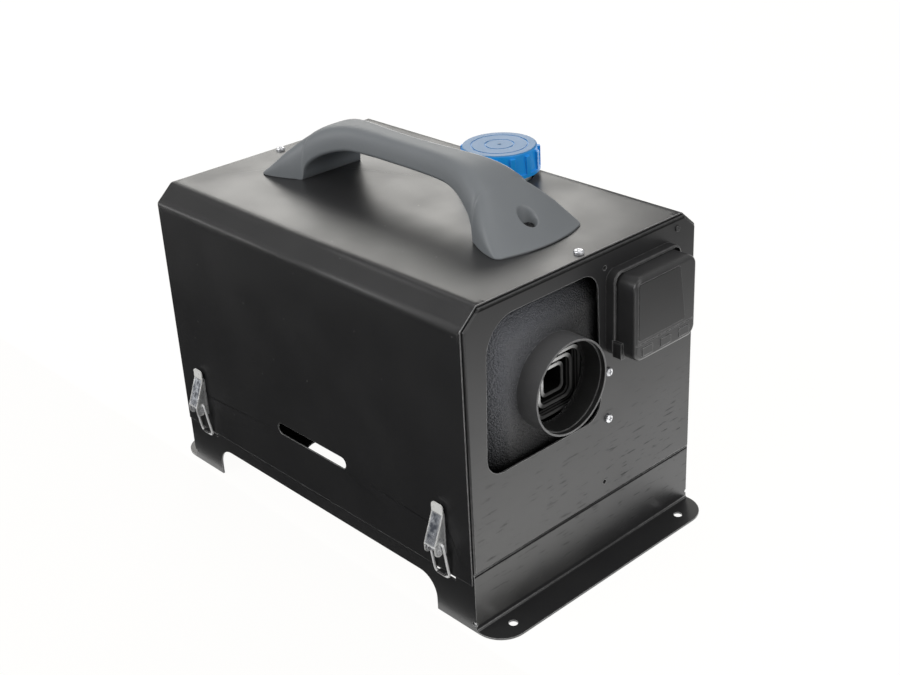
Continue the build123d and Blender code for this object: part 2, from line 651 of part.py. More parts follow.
def handle_side():
    """The handle seen along Y: a low arch with feet that run out to thin tips."""
    end = HANDLE_HALF_LENGTH
    tip = COVER_TOP + HANDLE_TIP
    crown_end = end - 78
    under = GRIP_UNDERSIDE
    right = Bezier((crown_end, HANDLE_TOP), (end - 34, HANDLE_TOP - 7), (end - 7, tip + 9), (end, tip))
    down = Polyline((end, tip), (end, COVER_TOP), (INNER_FOOT, COVER_TOP))
    inner = Bezier(
        (INNER_FOOT, COVER_TOP),
        (INNER_FOOT - 9, COVER_TOP + 14.6),
        (INNER_FOOT - 17, under),
        (ARCH_START, under),
    )
    half = [right, *down.edges(), inner]
    other = [mirror(edge, about=Plane.YZ) for edge in half]
    crown = ThreePointArc((-crown_end, HANDLE_TOP), (0, HANDLE_TOP + HANDLE_CROWN), (crown_end, HANDLE_TOP))
    return make_face([*half, *other, crown, Line((ARCH_START, under), (-ARCH_START, under))])


def handle_plan():
    """The handle from above: a slim grip that flares into two wide feet with bowed ends."""
    end = HANDLE_HALF_LENGTH
    wide = FOOT_HALF_WIDTH
    flare = Bezier(
        (0, GRIP_HALF_WIDTH),
        (end - 90, GRIP_HALF_WIDTH - 1),
        (end - 58, GRIP_HALF_WIDTH + 5),
        (end - 38, wide - 5),
    )
    corner = Bezier((end - 38, wide - 5), (end - 30, wide), (end - 20, wide), (end - FOOT_BOW, wide))
    bow = ThreePointArc((end - FOOT_BOW, wide), (end, 0), (end - FOOT_BOW, -wide))
    upper = [flare, corner]
    lower = [mirror(edge, about=Plane.XZ) for edge in upper]
    left = [mirror(edge, about=Plane.YZ) for edge in [*upper, bow, *lower]]
    return make_face([*upper, bow, *lower, *left])


def handle_front():
    """The handle seen along X: wide at the feet, narrow at the grip."""
    foot = FOOT_HALF_WIDTH + 0.5
    tip = COVER_TOP + HANDLE_TIP
    shoulder = GRIP_HALF_WIDTH - 1.5
    top_z = HANDLE_TOP + 2
    side = Bezier((foot, tip), (foot - 9, tip + 14), (shoulder + 9, HANDLE_TOP - 22), (shoulder, top_z))
    other = mirror(side, about=Plane.YZ)
    base = Polyline((foot, tip), (foot, COVER_TOP), (-foot, COVER_TOP), (-foot, tip))
    top = Line((-shoulder, top_z), (shoulder, top_z))
    return make_face([side, *base.edges(), other, top])


def handle():
    body = prism_y(handle_side(), -FOOT_HALF_WIDTH - 1, FOOT_HALF_WIDTH + 1)
    body &= prism_z(handle_plan(), COVER_TOP - 1, HANDLE_TOP + 5)
    body &= prism_x(handle_front(), -HANDLE_HALF_LENGTH - 1, HANDLE_HALF_LENGTH + 1)
    body = Pos(0, HANDLE_Y, 0) * body
    for x, y in handle_bolt_places():
        body -= rod_z(RECESS_RADIUS, RECESS_FLOOR, HANDLE_TOP + 5, x, y)
        body -= rod_z(HANDLE_BOLT_RADIUS + FIT, COVER_TOP - 1, RECESS_FLOOR + 1, x, y)
    return body


def handle_bolts():
    """A bolt down each foot's recess with its nut under the cover."""
    solids = []
    for x, y in handle_bolt_places():
        length = RECESS_FLOOR - COVER_TOP + SHEET + 6
        solids.append(Pos(x, y, RECESS_FLOOR) * screw(4.6, 2.8, HANDLE_BOLT_RADIUS, length))
        solids.append(Pos(x, y, COVER_TOP - SHEET - 4) * hex_nut(8.0, 4.0, HANDLE_BOLT_RADIUS + 0.02))
    return group(solids)


# ---------------------------------------------------------------- fuel tank, cap and pump
CAP_WALL = 3.5
CAP_SEAL_THICKNESS = 3.0
CAP_SEAL_GAP = 0.2
RIB_PROUD = 1.2
RIB_WIDTH = 4.2
CAP_RING = 0.6              # lower ring beyond the skirt
CAP_GROOVES = (CAP_TOP_RADIUS - 7.0, CAP_TOP_RADIUS - 18.5)
CAP_GROOVE_WIDTH = 1.2
CAP_GROOVE_DEPTH = 0.5
TANK_CORNER = 12.0
PUMP_X = (AIR_INTAKE_X + 20.0, AIR_INTAKE_X + 100.0)
PUMP_Y = AXIS_Y + 31.5
PUMP_Z = 74.0
PUMP_RADIUS = 15.0
CLAMP_X = (PUMP_X[0] + 36.0, PUMP_X[0] + 50.0)
CLAMP_WALL = 4.0
CLAMP_FOOT_HALF = 9.0
FILTER_X = (PUMP_X[1] + 10.0, PUMP_X[1] + 30.0)
FILTER_RADIUS = 9.0
FUEL_CROSS_X = FILTER_X[1] + 34.0
FUEL_CROSS_Z = PUMP_Z
FITTING_RADIUS = 5.0
FITTING_FLANGE = 2.0
HOSE_RADIUS = 3.5
HOSE_BORE = 1.75
PIPE_RADIUS = 2.6
PIPE_BEND = 18.0
PIPE_X = AIR_INTAKE_X
BARB_RADIUS = 1.7
BARB_LENGTH = 8.0
END_GAP = 0.3               # hose end from the shoulder it is pushed to

NECK_TOP = CAP_TOP - CAP_WALL - CAP_SEAL_THICKNESS - CAP_SEAL_GAP


def fuel_tank():
    length = TANK_LENGTH / 2
    tank = block((-length, length), (TANK_LOW_Y, TANK_HIGH_Y), (BASE_TOP, TANK_TOP))
    tank = fillet(tank.edges().filter_by(Axis.X) + tank.edges().filter_by(Axis.Z), TANK_CORNER)
    wall = TANK_WALL
    inside = block(
        (-length + wall, length - wall),
        (TANK_LOW_Y + wall, TANK_HIGH_Y - wall),
        (BASE_TOP + wall, TANK_TOP - wall),
    )
    inside = fillet(inside.edges().filter_by(Axis.X) + inside.edges().filter_by(Axis.Z), TANK_CORNER - wall)
    tank += rod_z(NECK_RADIUS, TANK_TOP - wall, NECK_TOP, NECK_X, NECK_Y)
    tank -= inside
    tank -= rod_z(NECK_RADIUS - NECK_WALL, TANK_TOP - 2 * wall, NECK_TOP + 1, NECK_X, NECK_Y)
    tank -= rod_y(FITTING_RADIUS, TANK_LOW_Y - 5, TANK_LOW_Y + 10, FUEL_CROSS_X, FUEL_CROSS_Z)
    return tank


def tank_fitting():
    """Outlet fitting in the tank's low side, with a barb for the suction hose."""
    face = TANK_LOW_Y - FITTING_FLANGE
    flange = rod_y(FITTING_RADIUS + 3, face, TANK_LOW_Y, FUEL_CROSS_X, FUEL_CROSS_Z)
    body = rod_y(FITTING_RADIUS - 0.05, TANK_LOW_Y, TANK_LOW_Y + TANK_WALL + 2, FUEL_CROSS_X, FUEL_CROSS_Z)
    barb = rod_y(BARB_RADIUS, face - BARB_LENGTH, face, FUEL_CROSS_X, FUEL_CROSS_Z)
    bore = rod_y(0.9, TANK_LOW_Y - 20, TANK_LOW_Y + 20, FUEL_CROSS_X, FUEL_CROSS_Z)
    return flange + body + barb - bore


def fuel_cap():
    """Ribbed screw cap; its top has two shallow rings and a centre dot."""
    low = CAP_TOP - CAP_HEIGHT
    core = Solid.make_cone(CAP_SKIRT_RADIUS - 0.4, CAP_TOP_RADIUS, CAP_HEIGHT - 0.01)
    cap = Pos(0, 0, low) * Part(core.wrapped)
    cap = fillet(cap.edges().sort_by(Axis.Z)[-1], 1.4)
    cap += rod_z(CAP_SKIRT_RADIUS + CAP_RING, low, low + 3.0, 0, 0)
    for number in range(CAP_RIBS):
        rib = block(
            (CAP_TOP_RADIUS - 3, CAP_SKIRT_RADIUS + RIB_PROUD - 0.6),
            (-RIB_WIDTH / 2, RIB_WIDTH / 2),
            (low + 0.5, CAP_TOP - 3.2),
        )
        cap += Rot(0, 0, 360 * number / CAP_RIBS) * rib
    cap -= rod_z(NECK_RADIUS + NECK_CLEARANCE, low - 1, CAP_TOP - CAP_WALL, 0, 0)
    for radius in CAP_GROOVES:
        groove = Circle(radius) - Circle(radius - CAP_GROOVE_WIDTH)
        cap -= prism_z(groove, CAP_TOP - CAP_GROOVE_DEPTH, CAP_TOP + 1)
    cap += rod_z(1.4, CAP_TOP - 0.3, CAP_TOP + 0.4, 0, 0)
    return Pos(NECK_X, NECK_Y, 0) * cap


def cap_seal():
    top = CAP_TOP - CAP_WALL
    face = Circle(NECK_RADIUS - 0.2) - Circle(NECK_RADIUS - NECK_WALL - 1)
    ring = prism_z(face, top - CAP_SEAL_THICKNESS, top)
    return Pos(NECK_X, NECK_Y, 0) * ring


def fuel_pump():
    """Dosing pump: a steel can with a barb at each end and a connector on top."""
    low, high = PUMP_X
    pump = rod_x(PUMP_RADIUS, low + 16, high - 16, PUMP_Y, PUMP_Z)
    pump = fillet(edges_in_plane_x(pump, low + 16) + edges_in_plane_x(pump, high - 16), 2.0)
    pump += rod_x(8, low + BARB_LENGTH, high - BARB_LENGTH, PUMP_Y, PUMP_Z)
    pump += rod_x(BARB_RADIUS, low, high, PUMP_Y, PUMP_Z)
    plug = block((low + 20, low + 32), (PUMP_Y - 5, PUMP_Y + 5), (PUMP_Z, PUMP_Z + PUMP_RADIUS + 4))
    return pump + fillet(plug.edges().filter_by(Axis.Z), 1.5)


def pump_clamp():
    """Rubber ring round the pump with a foot on the base plate."""
    ring = rod_x(PUMP_RADIUS + CLAMP_WALL, *CLAMP_X, PUMP_Y, PUMP_Z)
    foot = block(CLAMP_X, (PUMP_Y - CLAMP_FOOT_HALF, PUMP_Y + CLAMP_FOOT_HALF), (BASE_TOP, PUMP_Z))
    return ring + foot - rod_x(PUMP_RADIUS, *PUMP_X, PUMP_Y, PUMP_Z)


def tube_along(points, radius, bore, bend):
    """Tube of straight runs joined by arcs, first a thin rod and then its bore."""
    path = FilletPolyline(*points, radius=bend) if len(points) > 2 else Line(*points)
    start = Plane(origin=path @ 0, z_dir=path % 0)
    tube = sweep(start * Circle(radius), path=path)
    return tube - sweep(start * Circle(bore), path=path) if bore else tube


def fuel_filter():
    """Clear in-line filter before the pump, with a barb at each end."""
    low, high = FILTER_X
    body = rod_x(FILTER_RADIUS, low, high, PUMP_Y, PUMP_Z)
    body = fillet(edges_in_plane_x(body, low) + edges_in_plane_x(body, high), 2.0)
    return body + rod_x(BARB_RADIUS, low - BARB_LENGTH, high + BARB_LENGTH, PUMP_Y, PUMP_Z)


def suction_hoses():
    """Tank to filter, and the short joint from filter to pump."""
    corner = [
        (FUEL_CROSS_X, TANK_LOW_Y - FITTING_FLANGE - END_GAP, FUEL_CROSS_Z),
        (FUEL_CROSS_X, PUMP_Y, FUEL_CROSS_Z),
        (FILTER_X[1] + END_GAP, PUMP_Y, PUMP_Z),
    ]
    joint = [
        (FILTER_X[0] - END_GAP, PUMP_Y, PUMP_Z),
        (PUMP_X[1] - BARB_LENGTH + END_GAP, PUMP_Y, PUMP_Z),
    ]
    return group([
        tube_along(corner, HOSE_RADIUS, HOSE_BORE, 6 * HOSE_RADIUS),
        tube_along(joint, HOSE_RADIUS, HOSE_BORE, 0),
    ])


def delivery_pipe():
    """Fuel pipe from the pump up to the underside of the blower housing."""
    points = [
        (PUMP_X[0] + BARB_LENGTH - END_GAP, PUMP_Y, PUMP_Z),
        (PIPE_X, PUMP_Y, PUMP_Z),
        (PIPE_X, PUMP_Y, AXIS_Z - BLOWER_HALF),
    ]
    return tube_along(points, PIPE_RADIUS, HOSE_BORE, PIPE_BEND)


# ---------------------------------------------------------------- heater body
HOOD_EDGE = 22.0


def heater_section(inset):
    outline = RectangleRounded(BODY_WIDTH - 2 * inset, BODY_HEIGHT - 2 * inset, BODY_CORNER - inset)
    return Pos(AXIS_Y, AXIS_Z) * outline


def outlet_hood():
    """Domed plastic end with the warm-air spigot."""
    hood = prism_x(heater_section(0), HOOD_BACK, HOOD_FRONT)
    hood = fillet(edges_in_plane_x(hood, HOOD_FRONT), HOOD_EDGE)
    inside = prism_x(heater_section(SHELL_WALL), HOOD_BACK - 1, HOOD_FRONT - SHELL_WALL)
    inside = fillet(edges_in_plane_x(inside, HOOD_FRONT - SHELL_WALL), HOOD_EDGE - SHELL_WALL)
    hood -= inside
    hood += rod_x(SPIGOT_RADIUS, HOOD_FRONT - SHELL_WALL, SPIGOT_END, AXIS_Y, AXIS_Z)
    hood -= rod_x(SPIGOT_RADIUS - SPIGOT_WALL, HOOD_FRONT - 10, SPIGOT_END + 1, AXIS_Y, AXIS_Z)
    hood -= rod_x(SPIGOT_RADIUS - SPIGOT_WALL + 0.8, SPIGOT_END - 4, SPIGOT_END + 1, AXIS_Y, AXIS_Z)
    return hood


def edges_in_plane_x(shape, x):
    """Edges that lie in the plane X = x."""
    return shape.edges().filter_by(
        lambda edge: all(abs((edge @ t).X - x) < 0.01 for t in (0, 0.5, 1)))


def heater_shells():
    """Upper and lower plastic shells round the heat exchanger and motor."""
    tube = prism_x(heater_section(0), SHELL_BACK, HOOD_BACK)
    tube -= prism_x(heater_section(SHELL_WALL), SHELL_BACK - 1, HOOD_BACK + 1)
    for x in (EXHAUST_X, AIR_INTAKE_X):
        tube -= rod_z(STUB_RADIUS + 1.0, AXIS_Z - BODY_HEIGHT, AXIS_Z, x, AXIS_Y)
    tube -= rod_z(PIPE_RADIUS + 1.0, AXIS_Z - BODY_HEIGHT, AXIS_Z, PIPE_X, PUMP_Y)
    tube -= rod_z(LEAD_RADIUS + 1.0, AXIS_Z, AXIS_Z + BODY_HEIGHT, LEAD_END_X, LEAD_RUN_Y)
    tube -= block(
        (FOOT_X[0] - 0.5, FOOT_X[1] + 0.5),
        (AXIS_Y - FOOT_HALF - 0.5, AXIS_Y + FOOT_HALF + 0.5),
        (AXIS_Z - BODY_HEIGHT, AXIS_Z),
    )
    wide = (AXIS_Y - BODY_WIDTH, AXIS_Y + BODY_WIDTH)
    long = (SHELL_BACK - 5, HOOD_BACK + 5)
    upper = tube & block(long, wide, (AXIS_Z, AXIS_Z + BODY_HEIGHT))
    lower = tube & block(long, wide, (AXIS_Z - BODY_HEIGHT, AXIS_Z))
    return upper, lower


GUARD_RINGS = (18.0, 28.0, 38.0)
GUARD_BAR = 2.4
FAN_CLEARANCE = 2.0


def intake_guard():
    """Plastic end with a round throat and a grille of rings and spokes."""
    guard = prism_x(heater_section(0), GUARD_END, SHELL_BACK)
    guard = fillet(edges_in_plane_x(guard, GUARD_END), 8.0)
    ring = Pos(AXIS_Y, AXIS_Z) * Circle(FAN_RADIUS + FAN_CLEARANCE + SHELL_WALL)
    guard -= prism_x(heater_section(SHELL_WALL) - ring, GUARD_END + 8, SHELL_BACK + 1)
    guard -= rod_x(FAN_RADIUS + FAN_CLEARANCE, GUARD_END + 6, SHELL_BACK + 1, AXIS_Y, AXIS_Z)
    guard -= rod_x(GUARD_THROAT, GUARD_END - 1, GUARD_END + 10, AXIS_Y, AXIS_Z)
    for radius in GUARD_RINGS:
        ring = Pos(AXIS_Y, AXIS_Z) * (Circle(radius + GUARD_BAR / 2) - Circle(radius - GUARD_BAR / 2))
        guard += prism_x(ring, GUARD_END + 0.5, GUARD_END + 3.5)
    for number in range(3):
        spoke = Box(3.0, 2 * GUARD_THROAT + 2, GUARD_BAR)
        guard += Pos(GUARD_END + 2, AXIS_Y, AXIS_Z) * Rot(60 * number, 0, 0) * spoke
    return guard


EXCHANGER_X = (HOOD_FRONT - 236.0, HOOD_FRONT - 28.0)
EXCHANGER_HALF = 42.0
EXCHANGER_WALL = 4.0
FIN_CLEARANCE = 5.5         # fins inside the shells
FIN_REACH = (BODY_WIDTH / 2 - SHELL_WALL - FIN_CLEARANCE, BODY_HEIGHT / 2 - SHELL_WALL - FIN_CLEARANCE - 2.0)
FIN_COUNT = 7
FIN_THICKNESS = 2.4
FIN_PITCH = 11.0
FOOT_X = (EXHAUST_X - 36.0, EXHAUST_X + 36.0)
FOOT_HALF = 30.0
STUD_X = (EXHAUST_X - 28.0, EXHAUST_X + 28.0)
STUD_HALF = 22.0
STUD_RADIUS = 3.0
NOSE_Y = AXIS_Y + 12.5
NOSE_Z = AXIS_Z - 9.5
NOSE_REACH = 22.0
LIP_HALVES = (25.0, 18.5, 12.0)
LIP_WALL = 2.4
GLOW_X = EXCHANGER_X[0] + 28.0
GLOW_RADIUS = 4.0


def heat_exchanger():
    """Cast-aluminium finned box, closed at the outlet end, with its mounting foot and exhaust stub."""
    low, high = EXCHANGER_X
    centre = Pos(AXIS_Y, AXIS_Z)
    body = prism_x(centre * RectangleRounded(2 * EXCHANGER_HALF, 2 * EXCHANGER_HALF, 12), low, high)
    body = fillet(edges_in_plane_x(body, high), 8.0)
    across, up = FIN_REACH
    for number in range(FIN_COUNT):
        shift = (number - (FIN_COUNT - 1) / 2) * FIN_PITCH
        fin = Pos(AXIS_Y, AXIS_Z + shift) * Rectangle(2 * across, FIN_THICKNESS)
        body += prism_x(fin, low + 20, high - 12)
        upright = Pos(AXIS_Y + shift, AXIS_Z + up / 2) * Rectangle(FIN_THICKNESS, up)
        body += prism_x(upright, low + 20, high - 12)
    inner = 2 * (EXCHANGER_HALF - EXCHANGER_WALL)
    foot_low = STAND_TOP + GASKET_THICKNESS
    body += block(FOOT_X, (AXIS_Y - FOOT_HALF, AXIS_Y + FOOT_HALF), (foot_low, AXIS_Z - 30))
    body += rod_z(STUB_RADIUS, STUB_END, AXIS_Z - 30, EXHAUST_X, AXIS_Y)
    body -= prism_x(centre * RectangleRounded(inner, inner, 10), low - 1, high - EXCHANGER_WALL)
    body -= rod_z(STUB_RADIUS - STUB_WALL, STUB_END - 1, AXIS_Z, EXHAUST_X, AXIS_Y)
    for step, half in enumerate(LIP_HALVES):
        inner_half = half - LIP_WALL
        loop = RectangleRounded(2 * half, 2 * half, half / 2.6)
        loop -= RectangleRounded(2 * inner_half, 2 * inner_half, inner_half / 2.6)
        body += prism_x(Pos(NOSE_Y, NOSE_Z) * loop, high - EXCHANGER_WALL, high + NOSE_REACH - 3 * step)
    body -= rod_z(9, AXIS_Z + EXCHANGER_HALF, AXIS_Z + EXCHANGER_HALF + 30, GLOW_X, AXIS_Y)
    body -= rod_z(GLOW_RADIUS, AXIS_Z, AXIS_Z + EXCHANGER_HALF + 5, GLOW_X, AXIS_Y)
    for x in STUD_X:
        for side in ENDS:
            stud_y = AXIS_Y + side * STUD_HALF
            body += rod_z(STUD_RADIUS, STAND_TOP - BASE_SHEET - 8, foot_low + 1, x, stud_y)
    return body


def foot_holes(low, high):
    """Cutters for the stubs and studs in what lies under the heater's foot."""
    cutters = [rod_z(STUB_RADIUS + 1.5, low, high, EXHAUST_X, AXIS_Y)]
    for x in STUD_X:
        for side in ENDS:
            cutters.append(rod_z(STUD_RADIUS + FIT, low, high, x, AXIS_Y + side * STUD_HALF))
    return cutters


def foot_gasket():
    across = (AXIS_Y - FOOT_HALF, AXIS_Y + FOOT_HALF)
    gasket = block(FOOT_X, across, (STAND_TOP, STAND_TOP + GASKET_THICKNESS))
    for cutter in foot_holes(STAND_TOP - 1, STAND_TOP + 5):
        gasket -= cutter
    return gasket


def foot_nuts():
    low = STAND_TOP - BASE_SHEET - 5
    return group(
        Pos(x, AXIS_Y + side * STUD_HALF, low) * hex_nut(10.0, 5.0, STUD_RADIUS + 0.02)
        for x in STUD_X for side in ENDS)


def heater_stand():
    """Folded steel table that carries the heater above the base plate."""
    half = STAND_HALF_LENGTH
    stand = block((-half, half), STAND_Y, (STAND_TOP - BASE_SHEET, STAND_TOP))
    for end in ENDS:
        leg = block((half - BASE_SHEET, half), STAND_Y, (BASE_TOP, STAND_TOP))
        foot = block((half - BASE_SHEET, half + STAND_FOOT), STAND_Y, (BASE_TOP, BASE_TOP + BASE_SHEET))
        side = leg + foot
        stand += side if end > 0 else mirrored(side)
    stand = Pos(HEATER_MIDDLE, 0, 0) * stand
    for cutter in foot_holes(STAND_TOP - 5, STAND_TOP + 5):
        stand -= cutter
    stand -= rod_z(STUB_RADIUS + 1.5, STAND_TOP - 5, STAND_TOP + 5, AIR_INTAKE_X, AXIS_Y)
    stand -= rod_z(PIPE_RADIUS + 1.5, STAND_TOP - 5, STAND_TOP + 5, PIPE_X, PUMP_Y)
    for x, y in stand_bolt_places():
        stand -= rod_z(STAND_BOLT_RADIUS + FIT, BASE_TOP - 1, BASE_TOP + 5, x, y)
    return stand


def stand_bolts():
    solids = []
    for x, y in stand_bolt_places():
        solids.append(Pos(x, y, BASE_TOP + BASE_SHEET) * screw(4.6, 2.8, STAND_BOLT_RADIUS, 9.0))
        solids.append(Pos(x, y, BASE_TOP - BASE_SHEET - 4) * hex_nut(8.0, 4.0, STAND_BOLT_RADIUS + 0.02))
    return group(solids)


# ---------------------------------------------------------------- burner, blower and rotor
BURNER_RADIUS = 30.0
BURNER_END = EXCHANGER_X[0] + 153.0
BLOWER_X = (AIR_INTAKE_X - 20.0, AIR_INTAKE_X + 20.0)
BLOWER_HALF = FAN_RADIUS - 2.0
BLOWER_CORNER = BLOWER_HALF - (PUMP_Y - AXIS_Y) - 0.5    # flat where the fuel pipe enters
IMPELLER_X = (AIR_INTAKE_X - 4.0, AIR_INTAKE_X + 10.0)
IMPELLER_RADIUS = BLOWER_HALF - 16.0
IMPELLER_VANES = 12
MOTOR_X = (BLOWER_X[0] - 42.0, BLOWER_X[0])
MOTOR_RADIUS = 26.0
FAN_X = (GUARD_END + 10.0, GUARD_END + 28.0)
FAN_HUB = 16.0
FAN_BLADES = 9
SHAFT_X = (GUARD_END + 8.0, IMPELLER_X[1] + 2.0)
BOARD_X = (AIR_INTAKE_X - 60.0, AIR_INTAKE_X + 10.0)
BOARD_HALF = BODY_WIDTH / 2 - BODY_CORNER - 4.0
BOARD_Z = AXIS_Z + BODY_HEIGHT / 2 - SHELL_WALL - 8.0
LEAD_RUN_Y = AXIS_Y + BOARD_HALF - 8.5
LEAD_END_X = AIR_INTAKE_X - 12.0
LEAD_END_Z = BOARD_Z + 4.0


def burner_tube():
    """Steel flame tube inside the heat exchanger, open at the far end."""
    low = EXCHANGER_X[0]
    tube = rod_x(BURNER_RADIUS, low, BURNER_END, AXIS_Y, AXIS_Z)
    tube += rod_x(EXCHANGER_HALF - EXCHANGER_WALL - 0.3, low, low + 4, AXIS_Y, AXIS_Z)
    tube -= rod_x(BURNER_RADIUS - 1.5, low + 6, BURNER_END + 1, AXIS_Y, AXIS_Z)
    tube -= rod_x(12, low - 1, low + 10, AXIS_Y, AXIS_Z)
    tube -= rod_z(GLOW_RADIUS + FIT, AXIS_Z, AXIS_Z + 60, GLOW_X, AXIS_Y)
    return tube


def burner_gasket():
    ring = Pos(AXIS_Y, AXIS_Z) * (RectangleRounded(2 * EXCHANGER_HALF, 2 * EXCHANGER_HALF, 12) - Circle(30))
    return prism_x(ring, EXCHANGER_X[0] - 2, EXCHANGER_X[0])


def glow_plug():
    """Pin plug through the top of the exchanger into the flame tube."""
    top = AXIS_Z + EXCHANGER_HALF
    plug = rod_z(GLOW_RADIUS, AXIS_Z + 14, top + 2, GLOW_X, AXIS_Y)
    plug += Pos(GLOW_X, AXIS_Y, top) * extrude(RegularPolygon(6.5, 6, major_radius=False), amount=6)
    plug += rod_z(1.6, top, top + 14, GLOW_X, AXIS_Y)
    return plug


def blower_housing():
    """Cast housing of the combustion-air blower with its intake stub."""
    low, high = BLOWER_X
    outline = RectangleRounded(2 * BLOWER_HALF, 2 * BLOWER_HALF, BLOWER_CORNER)
    housing = prism_x(Pos(AXIS_Y, AXIS_Z) * outline, low, high)
    housing += rod_z(STUB_RADIUS, STUB_END, AXIS_Z - 40, AIR_INTAKE_X, AXIS_Y)
    housing -= rod_x(IMPELLER_RADIUS + 3, IMPELLER_X[0] - 3, high + 1, AXIS_Y, AXIS_Z)
    housing -= rod_x(SHAFT_RADIUS + 1, low - 1, high, AXIS_Y, AXIS_Z)
    housing -= rod_z(STUB_RADIUS - STUB_WALL, STUB_END - 1, AXIS_Z - 20, AIR_INTAKE_X, AXIS_Y)
    return housing


def blower_motor():
    low, high = MOTOR_X
    motor = rod_x(MOTOR_RADIUS, low, high, AXIS_Y, AXIS_Z)
    motor = fillet(edges_in_plane_x(motor, low), 3.0)
    for side in ENDS:
        middle = AXIS_Z + side * 8
        motor += block((high - 3, high), (AXIS_Y - 45, AXIS_Y + 45), (middle - 6, middle + 6))
    motor -= rod_x(SHAFT_RADIUS + SHAFT_CLEARANCE, low - 1, high + 1, AXIS_Y, AXIS_Z)
    return motor


def motor_shaft():
    return rod_x(SHAFT_RADIUS, *SHAFT_X, AXIS_Y, AXIS_Z)


def heating_fan():
    """Axial fan that blows the room air over the exchanger."""
    low, high = FAN_X
    fan = rod_x(FAN_HUB, low, high, AXIS_Y, AXIS_Z)
    fan = fillet(edges_in_plane_x(fan, low), 4.0)
    length = FAN_RADIUS - FAN_HUB + 2
    for number in range(FAN_BLADES):
        blade = Pos(0, 0, FAN_HUB - 2 + length / 2) * Rot(0, 0, 38) * Box(1.6, 22, length)
        trimmed = blade & Cylinder(FAN_RADIUS, 2 * (high - low - 2) / 2, rotation=(0, 90, 0))
        fan += Pos((low + high) / 2, AXIS_Y, AXIS_Z) * Rot(360 * number / FAN_BLADES, 0, 0) * trimmed
    fan -= rod_x(SHAFT_RADIUS, low - 1, high + 1, AXIS_Y, AXIS_Z)
    return fan


def combustion_impeller():
    low, high = IMPELLER_X
    wheel = rod_x(IMPELLER_RADIUS, low, low + 2, AXIS_Y, AXIS_Z)
    wheel += rod_x(9, low, high, AXIS_Y, AXIS_Z)
    for number in range(IMPELLER_VANES):
        vane = block((low + 1, high - 1), (-0.7, 0.7), (7, IMPELLER_RADIUS - 1))
        wheel += Pos(0, AXIS_Y, AXIS_Z) * Rot(360 * number / IMPELLER_VANES, 0, 0) * vane
    wheel -= rod_x(SHAFT_RADIUS, low - 1, high + 1, AXIS_Y, AXIS_Z)
    return wheel


def control_board():
    """Circuit board and its potted block, clipped under the upper shell."""
    board = block(BOARD_X, (AXIS_Y - BOARD_HALF, AXIS_Y + BOARD_HALF), (BOARD_Z, BOARD_Z + 1.6))
    low, high = BOARD_X
    for x in (low + 14, high - 26):
        board += block((x, x + 14), (AXIS_Y - 14, AXIS_Y + 14), (BOARD_Z + 1.6, BOARD_Z + 8))
    board += block((LEAD_END_X - 6, LEAD_END_X + 6), (LEAD_RUN_Y - 6, LEAD_RUN_Y + 6), (BOARD_Z, LEAD_END_Z))
    for side in ENDS:
        edge = AXIS_Y + side * (BOARD_HALF - 4)
        top = AXIS_Z + BODY_HEIGHT / 2 - SHELL_WALL
        board += rod_z(2.5, BOARD_Z, top, low + 6, edge)
        board += rod_z(2.5, BOARD_Z, top, high - 6, edge)
    return board


# ---------------------------------------------------------------- controller on the outlet panel
PLATE_CORNER = 9.0
HOUSING_WIDTH = 71.0
HOUSING_SHIFT = -0.3
HOUSING_LOW = CONTROL_Z - 34.8
HOUSING_TOP = CONTROL_Z + 32.5
HOUSING_CORNER = 9.0
HOUSING_EDGE = 3.0
HOUSING_WALL = 2.0
WINDOW_LOW = CONTROL_Z - 17.0
WINDOW_TOP_Y = CONTROL_Y + 14.7     # far edge of the window, top and bottom
WINDOW_LOW_Y = CONTROL_Y + 21.9
GROOVE_Z = CONTROL_Z - 20.2
GROOVE = 0.8
KEY_Z = CONTROL_Z - 27.2
KEY_PROUD = 0.6
KEY_FLANGE = 1.2
KEY_TRAVEL = 0.6
POCKET_RADIUS = 7.2
POCKET_DEPTH = 5.5
POCKET_IN = 8.8
RIM = 2.0                   # width and height of the back plate's rim
SIDE_BLOCK_TOP = CONTROL_Z - 20.5
SIDE_BLOCK_OUT = 2.6
SIDE_BLOCK_LONG = 8.0
WINDOW_PROUD = 0.3
SWITCH_HEIGHT = 2.0
SWITCH_GAP = 0.1            # left under a key that is fully pressed
BOARD_THICK = 1.6

CONTROL_BACK_X = FACE_X
CONTROL_FRONT_X = FACE_X + CONTROL_FRONT
PLATE_FRONT_X = FACE_X + CONTROL_PLATE
HOUSING_Y = CONTROL_Y + HOUSING_SHIFT
BOARD_FACE_X = CONTROL_FRONT_X - HOUSING_WALL - KEY_FLANGE - KEY_TRAVEL - SWITCH_HEIGHT
KEY_PLACES = [(HOUSING_Y + (number - 1) * KEY_PITCH, KEY_Z) for number in range(3)]
KEY_NAMES = ("key_down", "key_power", "key_up")


def pocket_places():
    high = CONTROL_Z + CONTROL_HEIGHT / 2 - POCKET_IN
    low = CONTROL_Z - CONTROL_HEIGHT / 2 + POCKET_IN
    reach = CONTROL_WIDTH / 2 - POCKET_IN
    return [(CONTROL_Y + side * reach, z) for side in ENDS for z in (low, high)]


